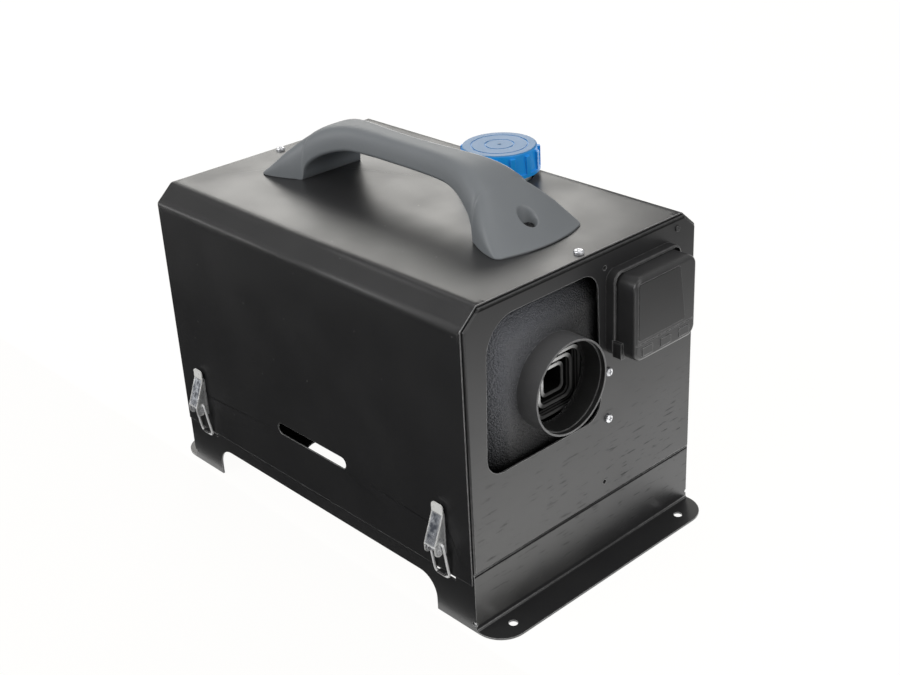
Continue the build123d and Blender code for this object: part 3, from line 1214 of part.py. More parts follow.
def controller_plate():
    """Back plate with a raised rim and a screw pocket in each corner."""
    outline = Pos(CONTROL_Y, CONTROL_Z) * RectangleRounded(CONTROL_WIDTH, CONTROL_HEIGHT, PLATE_CORNER)
    plate = prism_x(outline, CONTROL_BACK_X, PLATE_FRONT_X)
    plate = fillet(edges_in_plane_x(plate, PLATE_FRONT_X), 1.5)
    low = CONTROL_Z - CONTROL_HEIGHT / 2
    near = CONTROL_Y - CONTROL_WIDTH / 2
    top = PLATE_FRONT_X + 1
    well_face = RectangleRounded(CONTROL_WIDTH - 2 * RIM, CONTROL_HEIGHT, PLATE_CORNER - RIM)
    well = prism_x(Pos(CONTROL_Y, CONTROL_Z - RIM) * well_face, PLATE_FRONT_X - RIM, top)
    beside = block((PLATE_FRONT_X - RIM, top), (near - 1, CONTROL_Y), (low - 1, SIDE_BLOCK_TOP + 1))
    plate -= well + beside
    for y, z in pocket_places():
        plate -= rod_x(POCKET_RADIUS, PLATE_FRONT_X - POCKET_DEPTH, PLATE_FRONT_X + 1, y, z)
        plate -= rod_x(PLATE_SCREW_RADIUS + FIT, CONTROL_BACK_X - 1, PLATE_FRONT_X, y, z)
    plate -= rod_x(LEAD_HOLE_RADIUS, CONTROL_BACK_X - 1, PLATE_FRONT_X + 1, HOUSING_Y, CONTROL_Z)
    return plate


def controller_screws():
    seat = PLATE_FRONT_X - POCKET_DEPTH
    return group(
        Pos(seat, y, z) * Rot(0, 90, 0) * screw(2.9, 1.9, PLATE_SCREW_RADIUS, seat - FACE_X + SHEET)
        for y, z in pocket_places())


def controller_housing():
    """Front case; its corners are scalloped over the back plate's screw pockets."""
    middle = (HOUSING_LOW + HOUSING_TOP) / 2
    height = HOUSING_TOP - HOUSING_LOW
    back = PLATE_FRONT_X - RIM
    outline = Pos(HOUSING_Y, middle) * RectangleRounded(HOUSING_WIDTH, height, HOUSING_CORNER)
    case = prism_x(outline, back, CONTROL_FRONT_X)
    case = fillet(edges_in_plane_x(case, CONTROL_FRONT_X), HOUSING_EDGE)
    side = HOUSING_Y - HOUSING_WIDTH / 2
    side_block = block(
        (back, back + SIDE_BLOCK_LONG),
        (side - SIDE_BLOCK_OUT, side + HOUSING_WALL),
        (HOUSING_LOW + 1, SIDE_BLOCK_TOP),
    )
    case += fillet(side_block.edges().filter_by(Axis.X).sort_by(Axis.Y)[:2], 1.0)
    wall = HOUSING_WALL
    inner = RectangleRounded(HOUSING_WIDTH - 2 * wall, height - 2 * wall, HOUSING_CORNER - wall)
    case -= prism_x(Pos(HOUSING_Y, middle) * inner, back - 1, CONTROL_FRONT_X - HOUSING_WALL)
    window = window_outline(0.15)
    case -= prism_x(window, CONTROL_FRONT_X - HOUSING_WALL - 1, CONTROL_FRONT_X + 1)
    groove = block(
        (CONTROL_FRONT_X - GROOVE / 2, CONTROL_FRONT_X + 1),
        (HOUSING_Y - HOUSING_WIDTH, HOUSING_Y + HOUSING_WIDTH),
        (GROOVE_Z - GROOVE / 2, GROOVE_Z + GROOVE / 2),
    )
    case -= groove
    for y, z in KEY_PLACES:
        gap = Pos(y, z) * RectangleRounded(KEY_WIDTH + 2 * KEY_GAP, KEY_HEIGHT + 2 * KEY_GAP, 1.2)
        case -= prism_x(gap, CONTROL_FRONT_X - HOUSING_WALL - 1, CONTROL_FRONT_X + 1)
    return case


def window_outline(grow):
    """Window with its far edge leaning out towards the bottom."""
    near = HOUSING_Y - HOUSING_WIDTH / 2 + HOUSING_EDGE + 1
    top = HOUSING_TOP - HOUSING_EDGE - 1
    outline = make_face(Polyline(
        (near, WINDOW_LOW),
        (WINDOW_LOW_Y, WINDOW_LOW),
        (WINDOW_TOP_Y, top),
        (near, top),
        close=True,
    ))
    outline = fillet(outline.vertices(), 2.0)
    return offset(outline, amount=grow) if grow else outline


def display_window():
    face = CONTROL_FRONT_X - HOUSING_WALL
    window = prism_x(window_outline(0), face, CONTROL_FRONT_X + WINDOW_PROUD)
    window += prism_x(window_outline(0.6), face - 1.0, face)
    return window


def key(place):
    """Push key with a flange behind the case's front."""
    y, z = place
    inside = CONTROL_FRONT_X - HOUSING_WALL
    front = CONTROL_FRONT_X + KEY_PROUD
    cap = prism_x(Pos(y, z) * RectangleRounded(KEY_WIDTH, KEY_HEIGHT, 1.0), inside - 1, front)
    cap = fillet(edges_in_plane_x(cap, front), 0.4)
    flange_face = Pos(y, z) * Rectangle(KEY_WIDTH + 2, KEY_HEIGHT + 1.4)
    flange = prism_x(flange_face, inside - KEY_FLANGE, inside - 0.05)
    return cap + flange


def controller_board():
    """Circuit board with a switch behind each key, on pillars from the back plate."""
    face = BOARD_FACE_X
    middle = (HOUSING_LOW + HOUSING_TOP) / 2
    width = HOUSING_WIDTH - 2 * HOUSING_WALL - 1
    height = HOUSING_TOP - HOUSING_LOW - 2 * HOUSING_WALL - 1
    outline = Pos(HOUSING_Y, middle) * RectangleRounded(width, height, HOUSING_CORNER - HOUSING_WALL)
    board = prism_x(outline, face - BOARD_THICK, face)
    for y, z in KEY_PLACES:
        board += rod_x(1.8, face, face + SWITCH_HEIGHT - SWITCH_GAP, y, z)
    board += block((face, face + 2.0), (HOUSING_Y - 28, HOUSING_Y + 14), (WINDOW_LOW + 4, HOUSING_TOP - 8))
    for side in ENDS:
        board += rod_x(2.0, PLATE_FRONT_X - RIM, face, HOUSING_Y + side * 16, CONTROL_Z - 10)
    return board


# ---------------------------------------------------------------- lead inside the case
def control_lead():
    """Lead from the controller's board through the panel, over the divider, to the heater's board."""
    points = [
        (BOARD_FACE_X - BOARD_THICK, HOUSING_Y, CONTROL_Z),
        (LEAD_TURN_X, HOUSING_Y, CONTROL_Z),
        (LEAD_TURN_X, HOUSING_Y, LEAD_RUN_Z),
        (LEAD_TURN_X, LEAD_RUN_Y, LEAD_RUN_Z),
        (LEAD_END_X, LEAD_RUN_Y, LEAD_RUN_Z),
        (LEAD_END_X, LEAD_RUN_Y, LEAD_END_Z),
    ]
    return tube_along(points, LEAD_RADIUS, 0, 6 * LEAD_RADIUS)


# ---------------------------------------------------------------- build and write
def write_case():
    save("base_tray", base_tray())
    save("outlet_panel", outlet_panel())
    save("intake_panel", intake_panel())
    save("top_cover", top_cover())
    save("tank_divider", tank_divider())
    save("cover_screws", cover_screws())
    save("divider_screws", divider_screws())
    save("panel_bolts", panel_bolts())
    save("panel_rivet", panel_rivet())
    save("power_grommet", power_grommet())


def write_latches():
    save("latch_plates", group(place * latch_plate() for place in LATCH_PLACES))
    save("latch_pins", group(place * latch_pin() for place in LATCH_PLACES))
    save("latch_rivets", latch_rivets())
    for name, place in zip(LATCH_NAMES, LATCH_PLACES):
        save("lever_" + name, place * latch_lever())
        save("bail_" + name, place * latch_bail())


def write_handle():
    save("handle", handle())
    save("handle_bolts", handle_bolts())


def write_fuel():
    save("fuel_tank", fuel_tank())
    save("tank_fitting", tank_fitting())
    save("fuel_cap", fuel_cap())
    save("cap_seal", cap_seal())
    save("fuel_pump", fuel_pump())
    save("pump_clamp", pump_clamp())
    save("fuel_filter", fuel_filter())
    save("suction_hoses", suction_hoses())
    save("delivery_pipe", delivery_pipe())


def write_heater():
    upper, lower = heater_shells()
    save("heater_upper_shell", upper)
    save("heater_lower_shell", lower)
    save("outlet_hood", outlet_hood())
    save("intake_guard", intake_guard())
    save("heat_exchanger", heat_exchanger())
    save("foot_gasket", foot_gasket())
    save("foot_nuts", foot_nuts())
    save("heater_stand", heater_stand())
    save("stand_bolts", stand_bolts())
    save("burner_tube", burner_tube())
    save("burner_gasket", burner_gasket())
    save("glow_plug", glow_plug())
    save("blower_housing", blower_housing())
    save("blower_motor", blower_motor())
    save("motor_shaft", motor_shaft())
    save("heating_fan", heating_fan())
    save("combustion_impeller", combustion_impeller())
    save("control_board", control_board())


def write_controller():
    save("controller_plate", controller_plate())
    save("controller_screws", controller_screws())
    save("controller_housing", controller_housing())
    save("display_window", display_window())
    save("controller_board", controller_board())
    save("control_lead", control_lead())
    for name, place in zip(KEY_NAMES, KEY_PLACES):
        save(name, key(place))


write_case()
write_latches()
write_handle()
write_fuel()
write_heater()
write_controller()
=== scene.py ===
import math

import bmesh
import bpy
from mathutils import Matrix, Vector


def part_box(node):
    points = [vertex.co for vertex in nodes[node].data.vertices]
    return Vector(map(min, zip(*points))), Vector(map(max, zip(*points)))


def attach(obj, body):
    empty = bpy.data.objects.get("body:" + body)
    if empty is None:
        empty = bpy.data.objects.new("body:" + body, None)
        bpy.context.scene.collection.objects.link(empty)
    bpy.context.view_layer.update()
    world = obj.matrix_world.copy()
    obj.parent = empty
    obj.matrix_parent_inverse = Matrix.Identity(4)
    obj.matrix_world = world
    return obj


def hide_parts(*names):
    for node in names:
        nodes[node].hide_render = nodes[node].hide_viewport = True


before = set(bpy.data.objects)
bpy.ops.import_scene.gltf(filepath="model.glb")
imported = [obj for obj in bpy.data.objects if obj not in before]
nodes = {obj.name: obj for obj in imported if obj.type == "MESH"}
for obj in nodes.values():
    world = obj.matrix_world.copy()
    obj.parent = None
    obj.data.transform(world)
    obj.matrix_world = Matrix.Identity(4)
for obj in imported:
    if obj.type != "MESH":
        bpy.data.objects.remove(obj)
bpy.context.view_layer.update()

# ---------------------------------------------------------------- camera
# The camera stands off the outlet end, on the near side and above the case, as the photograph has it.
# Its place was fitted to the corners of the case, the flange and the spigot.
AZIMUTH, ELEVATION, ROLL = (math.radians(angle) for angle in (48.2102, 26.6893, -3.1285))
EYE = Vector((0.79837, -0.68226, 0.66458))
SENSOR_WIDTH, FOCAL_LENGTH = 36.0, 55.635
NEAREST_SEEN, FARTHEST_SEEN = 0.01, 50

backwards = Vector((
    math.sin(AZIMUTH) * math.cos(ELEVATION),
    -math.cos(AZIMUTH) * math.cos(ELEVATION),
    math.sin(ELEVATION),
))
level_right = Vector((0, 0, 1)).cross(backwards).normalized()
level_up = backwards.cross(level_right)
right = level_right * math.cos(ROLL) + level_up * math.sin(ROLL)
upwards = level_up * math.cos(ROLL) - level_right * math.sin(ROLL)
camera = bpy.data.objects.new("camera", bpy.data.cameras.new("camera"))
camera.data.sensor_width = SENSOR_WIDTH
camera.data.lens = FOCAL_LENGTH
camera.data.clip_start, camera.data.clip_end = NEAREST_SEEN, FARTHEST_SEEN
camera.matrix_world = Matrix.Translation(EYE) @ Matrix((right, upwards, backwards)).transposed().to_4x4()
bpy.context.scene.collection.objects.link(camera)
bpy.context.scene.camera = camera
bpy.context.scene.view_settings.view_transform = "Standard"

# ---------------------------------------------------------------- studio
# A pale floor that runs to the horizon, four soft lights round the case, and a dark cloth before the
# near side, which keeps that side dark and isn't seen by the camera. In the gloss of the case the
# floor is bright close by and fades to dark beyond the outlet end.
WARM_WHITE = (1, 0.995, 0.985, 1)
FLOOR_SIZE, FLOOR_PLACE = 14, (0, 0, -0.0004)
FLOOR_GREY, FLOOR_GLOW = (0.8, 0.8, 0.8, 1), 1.03
SEEN_SHARE, MIRRORED_SHARE = 0.94, 0.85
FADE_LEAN, FADE_START, FADE_END = 0.4, 0.44, 0.74
GLOW_NEAR, GLOW_FAR = 1.1, -0.85
CLOTH_SIZE, CLOTH_PLACE = 1.6, (-0.35, -0.93, -0.0002)
CLOTH_BLACK = (0.01, 0.01, 0.01, 1)
WORLD_LIGHT = 0.42
LIGHTS_AIM = Vector((0, 0, 0.18))


def put(tree, kind, inputs=None, **settings):
    """Places one shader node; each input is a plain value or another node's output."""
    placed = tree.nodes.new(kind)
    for name, value in settings.items():
        setattr(placed, name, value)
    for name, value in (inputs or {}).items():
        if isinstance(value, bpy.types.NodeSocket):
            tree.links.new(value, placed.inputs[name])
        else:
            placed.inputs[name].default_value = value
    return placed


def maths(tree, operation, *values, clamp=False):
    """One step of arithmetic; each value is a plain number or another node's output."""
    step = put(tree, "ShaderNodeMath", dict(enumerate(values)), operation=operation, use_clamp=clamp)
    return step.outputs[0]


def ramp(tree, value, start, end, low=0.0, high=1.0):
    """A number that goes from low to high while the value goes from start to end."""
    limits = {"Value": value, "From Min": start, "From Max": end, "To Min": low, "To Max": high}
    return put(tree, "ShaderNodeMapRange", limits).outputs[0]


def flat_sheet(name, size, place, finish):
    """A square that lies flat in the studio, face up: floor or cloth."""
    mesh = bpy.data.meshes.new(name)
    half = size / 2
    corners = [(-half, -half, 0), (half, -half, 0), (half, half, 0), (-half, half, 0)]
    mesh.from_pydata(corners, [], [(0, 1, 2, 3)])
    mesh.materials.append(finish)
    made = bpy.data.objects.new(name, mesh)
    made.location = place
    made.rotation_euler = Vector((0, 0, 1)).to_track_quat("Z", "Y").to_euler()
    bpy.context.scene.collection.objects.link(made)
    return made


floor_finish = bpy.data.materials.new("pale_floor")
floor_finish.use_nodes = True
tree = floor_finish.node_tree
tree.nodes.clear()
matt = put(tree, "ShaderNodeBsdfDiffuse", {"Color": FLOOR_GREY})
seen = put(tree, "ShaderNodeLightPath").outputs
on_floor = put(tree, "ShaderNodeNewGeometry").outputs["Position"]
place = put(tree, "ShaderNodeSeparateXYZ", {0: on_floor}).outputs
outwards = maths(tree, "MULTIPLY_ADD", place["Y"], FADE_LEAN, place["X"])
fading = ramp(tree, outwards, FADE_START, FADE_END, GLOW_NEAR, GLOW_FAR)
strength = maths(tree, "MULTIPLY", seen["Is Glossy Ray"], fading)
strength = maths(tree, "ADD", strength, FLOOR_GLOW)
glow = put(tree, "ShaderNodeEmission", {"Color": WARM_WHITE, "Strength": strength})
share = maths(tree, "MULTIPLY", seen["Is Camera Ray"], SEEN_SHARE)
share = maths(tree, "MULTIPLY_ADD", seen["Is Glossy Ray"], MIRRORED_SHARE, share)
mixed = put(tree, "ShaderNodeMixShader", {0: share, 1: matt.outputs[0], 2: glow.outputs[0]})
put(tree, "ShaderNodeOutputMaterial", {"Surface": mixed.outputs[0]})
flat_sheet("floor", FLOOR_SIZE, FLOOR_PLACE, floor_finish)

cloth_finish = bpy.data.materials.new("dark_cloth")
cloth_finish.use_nodes = True
cloth_shader = cloth_finish.node_tree.nodes["Principled BSDF"]
cloth_shader.inputs["Base Color"].default_value = CLOTH_BLACK
cloth_shader.inputs["Roughness"].default_value = 1.0
cloth = flat_sheet("dark_cloth", CLOTH_SIZE, CLOTH_PLACE, cloth_finish)
cloth.visible_camera = False
cloth.visible_shadow = False

world = bpy.data.worlds.new("studio")
bpy.context.scene.world = world
world.use_nodes = True
tree = world.node_tree
tree.nodes.clear()
seen = put(tree, "ShaderNodeLightPath").outputs
white = put(tree, "ShaderNodeBackground", {"Color": (1, 1, 1, 1), "Strength": 1.0})
dim = put(tree, "ShaderNodeBackground", {"Color": WARM_WHITE, "Strength": WORLD_LIGHT})
mixed = put(tree, "ShaderNodeMixShader", {0: seen["Is Camera Ray"], 1: dim.outputs[0], 2: white.outputs[0]})
put(tree, "ShaderNodeOutputWorld", {"Surface": mixed.outputs[0]})


def soft_light(name, place, size, power, tint=(1, 1, 1)):
    """A rectangular soft light aimed at the middle of the case."""
    lamp = bpy.data.lights.new(name, "AREA")
    lamp.shape = "RECTANGLE"
    lamp.size, lamp.size_y = size
    lamp.energy = power
    lamp.color = tint
    made = bpy.data.objects.new(name, lamp)
    made.location = place
    made.rotation_euler = (Vector(place) - LIGHTS_AIM).to_track_quat("Z", "Y").to_euler()
    bpy.context.scene.collection.objects.link(made)


soft_light("light_behind", (-2.05, 1.5, 1.4), (1.6, 1.0), 19.5, (1, 0.985, 0.94))
soft_light("light_above", (0.5, 0.3, 2.4), (1.6, 1.6), 12)
soft_light("light_right", (2.2, 0.3, 1.1), (1.2, 1.6), 14)
soft_light("light_front", (-0.5, -2.3, 1.7), (2.0, 1.4), 42)

# ---------------------------------------------------------------- powder-coated case
# Cover, end panels, base, divider and heater stand are folded steel sheet with a black powder coat: a fine
# orange-peel skin, brush marks and a paler cloudy film low on the ends, painted shadow in the gaps under and
# over the outlet panel, specks of dust on the cover, and paler cut edges, partly a thinner coat and partly a
# painted highlight. The cover's long folds are bent round a radius.
COAT_BLACK, COAT_PATCH = (0.017, 0.017, 0.018, 1), (0.022, 0.022, 0.0225, 1)
# the pale grey on the coat's edges is partly a thinner coat and partly a painted highlight
COAT_EDGE_WEAR_AND_HIGHLIGHT, WORN_ROUGH = (0.42, 0.42, 0.42, 1), 0.28
BRUSHED, BRUSH_STRENGTH, BRUSH_STRETCH = (0.004, 0.004, 0.004, 1), 0.3, (60, 60, 480)
# a paler cloudy film low on the ends, and pale specks of dust on the cover
PALE_FILM, DUST_SPECK = (0.19, 0.188, 0.18, 1), (0.11, 0.11, 0.108, 1)
SPECK_CELLS, SPECK_SIZE = 55.0, 0.035
# painted shadow: near black in the thin gaps under and over the outlet panel
GAP_SHADOW = (0.001, 0.001, 0.001, 1)
# how far below the panel's bottom and top the painted gap shadows lie, and half their heights
LOW_GAP, LOW_GAP_HALF = 0.0018, 0.0017
HIGH_GAP, HIGH_GAP_HALF = 0.0016, 0.0011
END_FACE, FLANGE_TOP = 0.1858, 0.006
MARKS_START, MARKS_FULL = 0.17, 0.08
FILM_START, FILM_FULL = 0.05, -0.11
# each long fold's distance from the middle of the case, and its height
COVER_FOLDS = ((0.1095, 0.2654), (0.1255, 0.2514))
FOLD_REACH, FOLD_RADIUS, FOLD_HALF_LENGTH = 0.009, 0.0075, 0.1842
SHEET_EDGE, SHARP_ANGLE, WELD_GAP = 0.00035, 28, 0.000002


def new_group(name, inputs, outputs):
    """An empty node group; inputs are (name, value) and outputs are names, all of them numbers."""
    group = bpy.data.node_groups.new(name, "ShaderNodeTree")
    for label, value in inputs:
        socket = group.interface.new_socket(label, in_out="INPUT", socket_type="NodeSocketFloat")
        socket.default_value = value
    for label in outputs:
        group.interface.new_socket(label, in_out="OUTPUT", socket_type="NodeSocketFloat")
    return group, group.nodes.new("NodeGroupInput").outputs, group.nodes.new("NodeGroupOutput").inputs


def surface_point(tree, stretch=(1, 1, 1)):
    """The place on the piece, in metres, with each axis multiplied."""
    place = put(tree, "ShaderNodeTexCoord").outputs["Object"]
    return put(tree, "ShaderNodeMapping", {"Vector": place, "Scale": stretch}).outputs[0]


def surface_axes(tree):
    """The place on the piece as three outputs, X, Y and Z, in metres."""
    return put(tree, "ShaderNodeSeparateXYZ", {0: surface_point(tree)}).outputs


def soft_noise(tree, scale, detail, stretch=(1, 1, 1)):
    """A cloudy noise with so many clouds to the metre."""
    inputs = {"Vector": surface_point(tree, stretch), "Scale": scale, "Detail": detail}
    return put(tree, "ShaderNodeTexNoise", inputs).outputs[0]


def cells(tree, scale):
    """The distance from the middle of the nearest cell, with so many cells to the metre."""
    inputs = {"Vector": surface_point(tree), "Scale": scale}
    return put(tree, "ShaderNodeTexVoronoi", inputs).outputs["Distance"]


# fine_grain: two noises of a stated size, for skins, castings and moulded plastic
fine_grain, given, out = new_group(
    "fine_grain", [("Grain Size", 0.001), ("Patch Size", 0.03)], ["Grain", "Patches"])
grains_per_metre = maths(fine_grain, "DIVIDE", 1.0, given["Grain Size"])
patches_per_metre = maths(fine_grain, "DIVIDE", 1.0, given["Patch Size"])
fine_grain.links.new(soft_noise(fine_grain, grains_per_metre, 2.0), out["Grain"])
fine_grain.links.new(soft_noise(fine_grain, patches_per_metre, 4.0), out["Patches"])

# a mask on outer edges, in broken patches: where an edge has less coat or is polished by hands, and where a
# highlight is painted on it
edge_wear_and_highlight, given, out = new_group("edge_wear_and_highlight", [("Width", 0.0006), ("Amount", 1.0)], ["Mask"])
rounded = put(edge_wear_and_highlight, "ShaderNodeBevel", {"Radius": given["Width"]}, samples=4).outputs[0]
face = put(edge_wear_and_highlight, "ShaderNodeNewGeometry").outputs["True Normal"]
agree = put(edge_wear_and_highlight, "ShaderNodeVectorMath", {0: rounded, 1: face}, operation="DOT_PRODUCT")
edge_band = ramp(edge_wear_and_highlight, agree.outputs["Value"], 0.998, 0.94)
patchy = ramp(edge_wear_and_highlight, soft_noise(edge_wear_and_highlight, 260.0, 3.0), 0.3, 0.62, 0.45, 1.0)
worn_and_lit = maths(edge_wear_and_highlight, "MULTIPLY", edge_band, patchy)
worn_and_lit = maths(edge_wear_and_highlight, "MULTIPLY", worn_and_lit, given["Amount"])
edge_wear_and_highlight.links.new(worn_and_lit, out["Mask"])


def use_group(tree, group, **inputs):
    """Places a node group, its inputs written with _ for a space."""
    placed = tree.nodes.new("ShaderNodeGroup")
    placed.node_tree = group
    for name, value in inputs.items():
        placed.inputs[name.replace("_", " ")].default_value = value
    return placed.outputs


def new_finish(name, **plain):
    """A material with its Principled shader; plain values go straight onto the shader's sockets."""
    finish = bpy.data.materials.new(name)
    finish.use_nodes = True
    shader = finish.node_tree.nodes["Principled BSDF"]
    for label, value in plain.items():
        shader.inputs[label.replace("_", " ")].default_value = value
    return finish, finish.node_tree, shader


def between(tree, factor, low, high):
    """A number or colour that goes from low to high with the factor."""
    # a Mix node has its numbers on sockets 2 and 3, its vectors on 4 and 5 and its colours on 6 and 7
    if any(hasattr(value, "__len__") or getattr(value, "type", "") == "RGBA" for value in (low, high)):
        return put(tree, "ShaderNodeMix", {0: factor, 6: low, 7: high}, data_type="RGBA").outputs[2]
    return put(tree, "ShaderNodeMix", {0: factor, 2: low, 3: high}, data_type="FLOAT").outputs[0]


def join(tree, output, shader, label):
    """Leads an output to one of the shader's inputs."""
    tree.links.new(output, shader.inputs[label])


def bump(tree, height, strength, depth):
    """A bump of so many metres' depth, as a normal."""
    return put(tree, "ShaderNodeBump", {"Height": height, "Strength": strength, "Distance": depth}).outputs[0]


def near_line(tree, across, up, centre, reach):
    """1 within reach of a line that runs along the case through centre, else 0."""
    away = put(tree, "ShaderNodeCombineXYZ", {"X": across, "Y": up}).outputs[0]
    away = put(tree, "ShaderNodeVectorMath", {0: away, 1: (*centre, 0)}, operation="DISTANCE")
    return maths(tree, "LESS_THAN", away.outputs["Value"], reach)


def low_on_ends(tree, place):
    """Grows from 0 to 1 down the lower half of an end of the case, clear of the flange."""
    low_down = ramp(tree, place["Z"], MARKS_START, MARKS_FULL)
    low_down = maths(tree, "MULTIPLY", low_down, maths(tree, "GREATER_THAN", place["X"], END_FACE))
    return maths(tree, "MULTIPLY", low_down, maths(tree, "GREATER_THAN", place["Z"], FLANGE_TOP))


def brush_marks(tree, low_down, colour, rough):
    """Short level marks, darker and rougher than the coat round them."""
    marks = ramp(tree, soft_noise(tree, 1.0, 2.0, BRUSH_STRETCH), 0.62, 0.7, 0.0, BRUSH_STRENGTH)
    marks = maths(tree, "MULTIPLY", marks, low_down)
    return between(tree, marks, colour, BRUSHED), maths(tree, "ADD", rough, marks)


def pale_low_film(tree, place, low_down, patches, colour):
    """A thin, paler cloudy film low on the ends, thicker towards the near side."""
    near = maths(tree, "MULTIPLY", ramp(tree, place["Y"], FILM_START, FILM_FULL), low_down)
    film = maths(tree, "MULTIPLY", near, ramp(tree, patches, 0.25, 0.75, 0.1, 0.32))
    return between(tree, film, colour, PALE_FILM)


def panel_gap_shadows(tree, place, colour, rough):
    """Painted shadow in the gaps under and over the outlet panel, where it meets the base and the cover."""
    bottom, top = (corner[2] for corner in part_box("outlet_panel"))
    under_panel = maths(tree, "COMPARE", place["Z"], bottom - LOW_GAP, LOW_GAP_HALF)
    over_panel = maths(tree, "COMPARE", place["Z"], top - HIGH_GAP, HIGH_GAP_HALF)
    shaded = maths(tree, "MAXIMUM", under_panel, over_panel)
    return between(tree, shaded, colour, GAP_SHADOW), between(tree, shaded, rough, 1.0)


def long_folds(tree, place):
    """1 on the cover's long folds, short of its ends, else 0."""
    side = maths(tree, "ABSOLUTE", place["Y"])
    upper, lower = (near_line(tree, side, place["Z"], fold, FOLD_REACH) for fold in COVER_FOLDS)
    along = maths(tree, "LESS_THAN", maths(tree, "ABSOLUTE", place["X"]), FOLD_HALF_LENGTH)
    return maths(tree, "MULTIPLY", maths(tree, "MAXIMUM", upper, lower), along)


def bent_skin(tree, folds, skin):
    """The plain surface on the flats, and the skin bent round a radius on the folds, as a normal."""
    plain = put(tree, "ShaderNodeNewGeometry").outputs["Normal"]
    bent = put(tree, "ShaderNodeBevel", {"Radius": FOLD_RADIUS, "Normal": skin}, samples=8).outputs[0]
    return put(tree, "ShaderNodeMix", {0: folds, 4: plain, 5: bent}, data_type="VECTOR").outputs[1]


def powder_coat(name, on_ends):
    """The black coat, with the marks, paler film and painted gap shadows of the case's ends, or with the
    folds and dust of its cover.
    """
    finish, tree, shader = new_finish(name)
    grain = use_group(tree, fine_grain, Grain_Size=0.0009, Patch_Size=0.06)
    wear_and_highlight = use_group(tree, edge_wear_and_highlight, Width=0.0006, Amount=1.0)["Mask"]
    place = surface_axes(tree)
    colour = between(tree, grain["Patches"], COAT_BLACK, COAT_PATCH)
    rough = ramp(tree, grain["Patches"], 0.3, 0.7, 0.31, 0.41)
    skin = bump(tree, grain["Grain"], 0.3, 0.00004)
    if on_ends:
        low_down = low_on_ends(tree, place)
        colour, rough = brush_marks(tree, low_down, colour, rough)
        colour = pale_low_film(tree, place, low_down, grain["Patches"], colour)
        colour, rough = panel_gap_shadows(tree, place, colour, rough)
    else:
        folds = long_folds(tree, place)
        skin = bent_skin(tree, folds, skin)
        wear_and_highlight = maths(tree, "SUBTRACT", wear_and_highlight, folds, clamp=True)
        specks = maths(tree, "LESS_THAN", cells(tree, SPECK_CELLS), SPECK_SIZE)
        colour = between(tree, specks, colour, DUST_SPECK)
    # paler edges: partly a thinner coat, partly a painted highlight
    join(tree, between(tree, wear_and_highlight, colour, COAT_EDGE_WEAR_AND_HIGHLIGHT), shader, "Base Color")
    join(tree, between(tree, wear_and_highlight, rough, WORN_ROUGH), shader, "Roughness")
    join(tree, skin, shader, "Normal")
    return finish


def fine_edges(name):
    """Breaks the sharp edges of a carried-over node with a narrow bevel."""
    piece = nodes[name]
    weld = piece.modifiers.new("one_skin", "WELD")
    weld.merge_threshold = WELD_GAP
    edge = piece.modifiers.new("broken_edge", "BEVEL")
    edge.width = SHEET_EDGE
    edge.segments = 2
    edge.limit_method = "ANGLE"
    edge.angle_limit = math.radians(SHARP_ANGLE)
    edge.harden_normals = True
    edge.use_clamp_overlap = True


def wear(finish, *names):
    """Gives carried-over nodes their finish."""
    for name in names:
        slots = nodes[name].data.materials
        slots.clear()
        slots.append(finish)


coat = powder_coat("black_powder_coat", on_ends=False)
end_coat = powder_coat("black_powder_coat_ends", on_ends=True)
wear(coat, "top_cover", "tank_divider", "heater_stand")
wear(end_coat, "outlet_panel", "intake_panel", "base_tray")
for name in ("top_cover", "outlet_panel", "intake_panel", "base_tray"):
    fine_edges(name)

# ---------------------------------------------------------------- zinc-plated fasteners and latches
# Screws, rivets, nuts and the pressed latch levers are steel with a bright zinc plate, which is mottled, with
# a painted highlight, paler and less metallic, on edges, on faces turned along the case and on the levers'
# finger lips; the wire loops are bright drawn wire. The handle's bolts are painted near black, as shade in
# their recesses, and the panel's rivet shares that dark finish.
NO_LIP = 9.0  # a height in metres that no piece reaches
LEVER_LIP, LIP_BLEND = 0.0087, 0.0006


def zinc_plate(name, dark, light, rim, lip_from=NO_LIP, rim_width=0.0006):
    """Mottled plate with a painted highlight, paler and less metallic, on its edges, on faces turned along
    the case such as its cheeks, and above lip_from, where the finger lip is.
    """
    finish, tree, shader = new_finish(name)
    grain = use_group(tree, fine_grain, Grain_Size=0.0014, Patch_Size=0.0045)
    wear_and_highlight = use_group(tree, edge_wear_and_highlight, Width=rim_width, Amount=1.6)["Mask"]
    mottle = ramp(tree, grain["Patches"], 0.38, 0.6)
    lip = ramp(tree, surface_axes(tree)["Z"], lip_from, lip_from + LIP_BLEND)
    facing = put(tree, "ShaderNodeSeparateXYZ", {0: put(tree, "ShaderNodeTexCoord").outputs["Normal"]})
    cheek = ramp(tree, maths(tree, "ABSOLUTE", facing.outputs["X"]), 0.6, 0.9, 0.0, 0.5)
    # painted highlight: edges, faces turned along the case and the finger lip are paler and less metallic
    bright = maths(tree, "MAXIMUM", lip, wear_and_highlight)
    bright = maths(tree, "MAXIMUM", bright, cheek, clamp=True)
    join(tree, between(tree, bright, between(tree, mottle, dark, light), rim), shader, "Base Color")
    join(tree, between(tree, bright, 1.0, 0.1), shader, "Metallic")
    join(tree, between(tree, mottle, 0.44, 0.26), shader, "Roughness")
    join(tree, bump(tree, grain["Grain"], 0.4, 0.00008), shader, "Normal")
    return finish


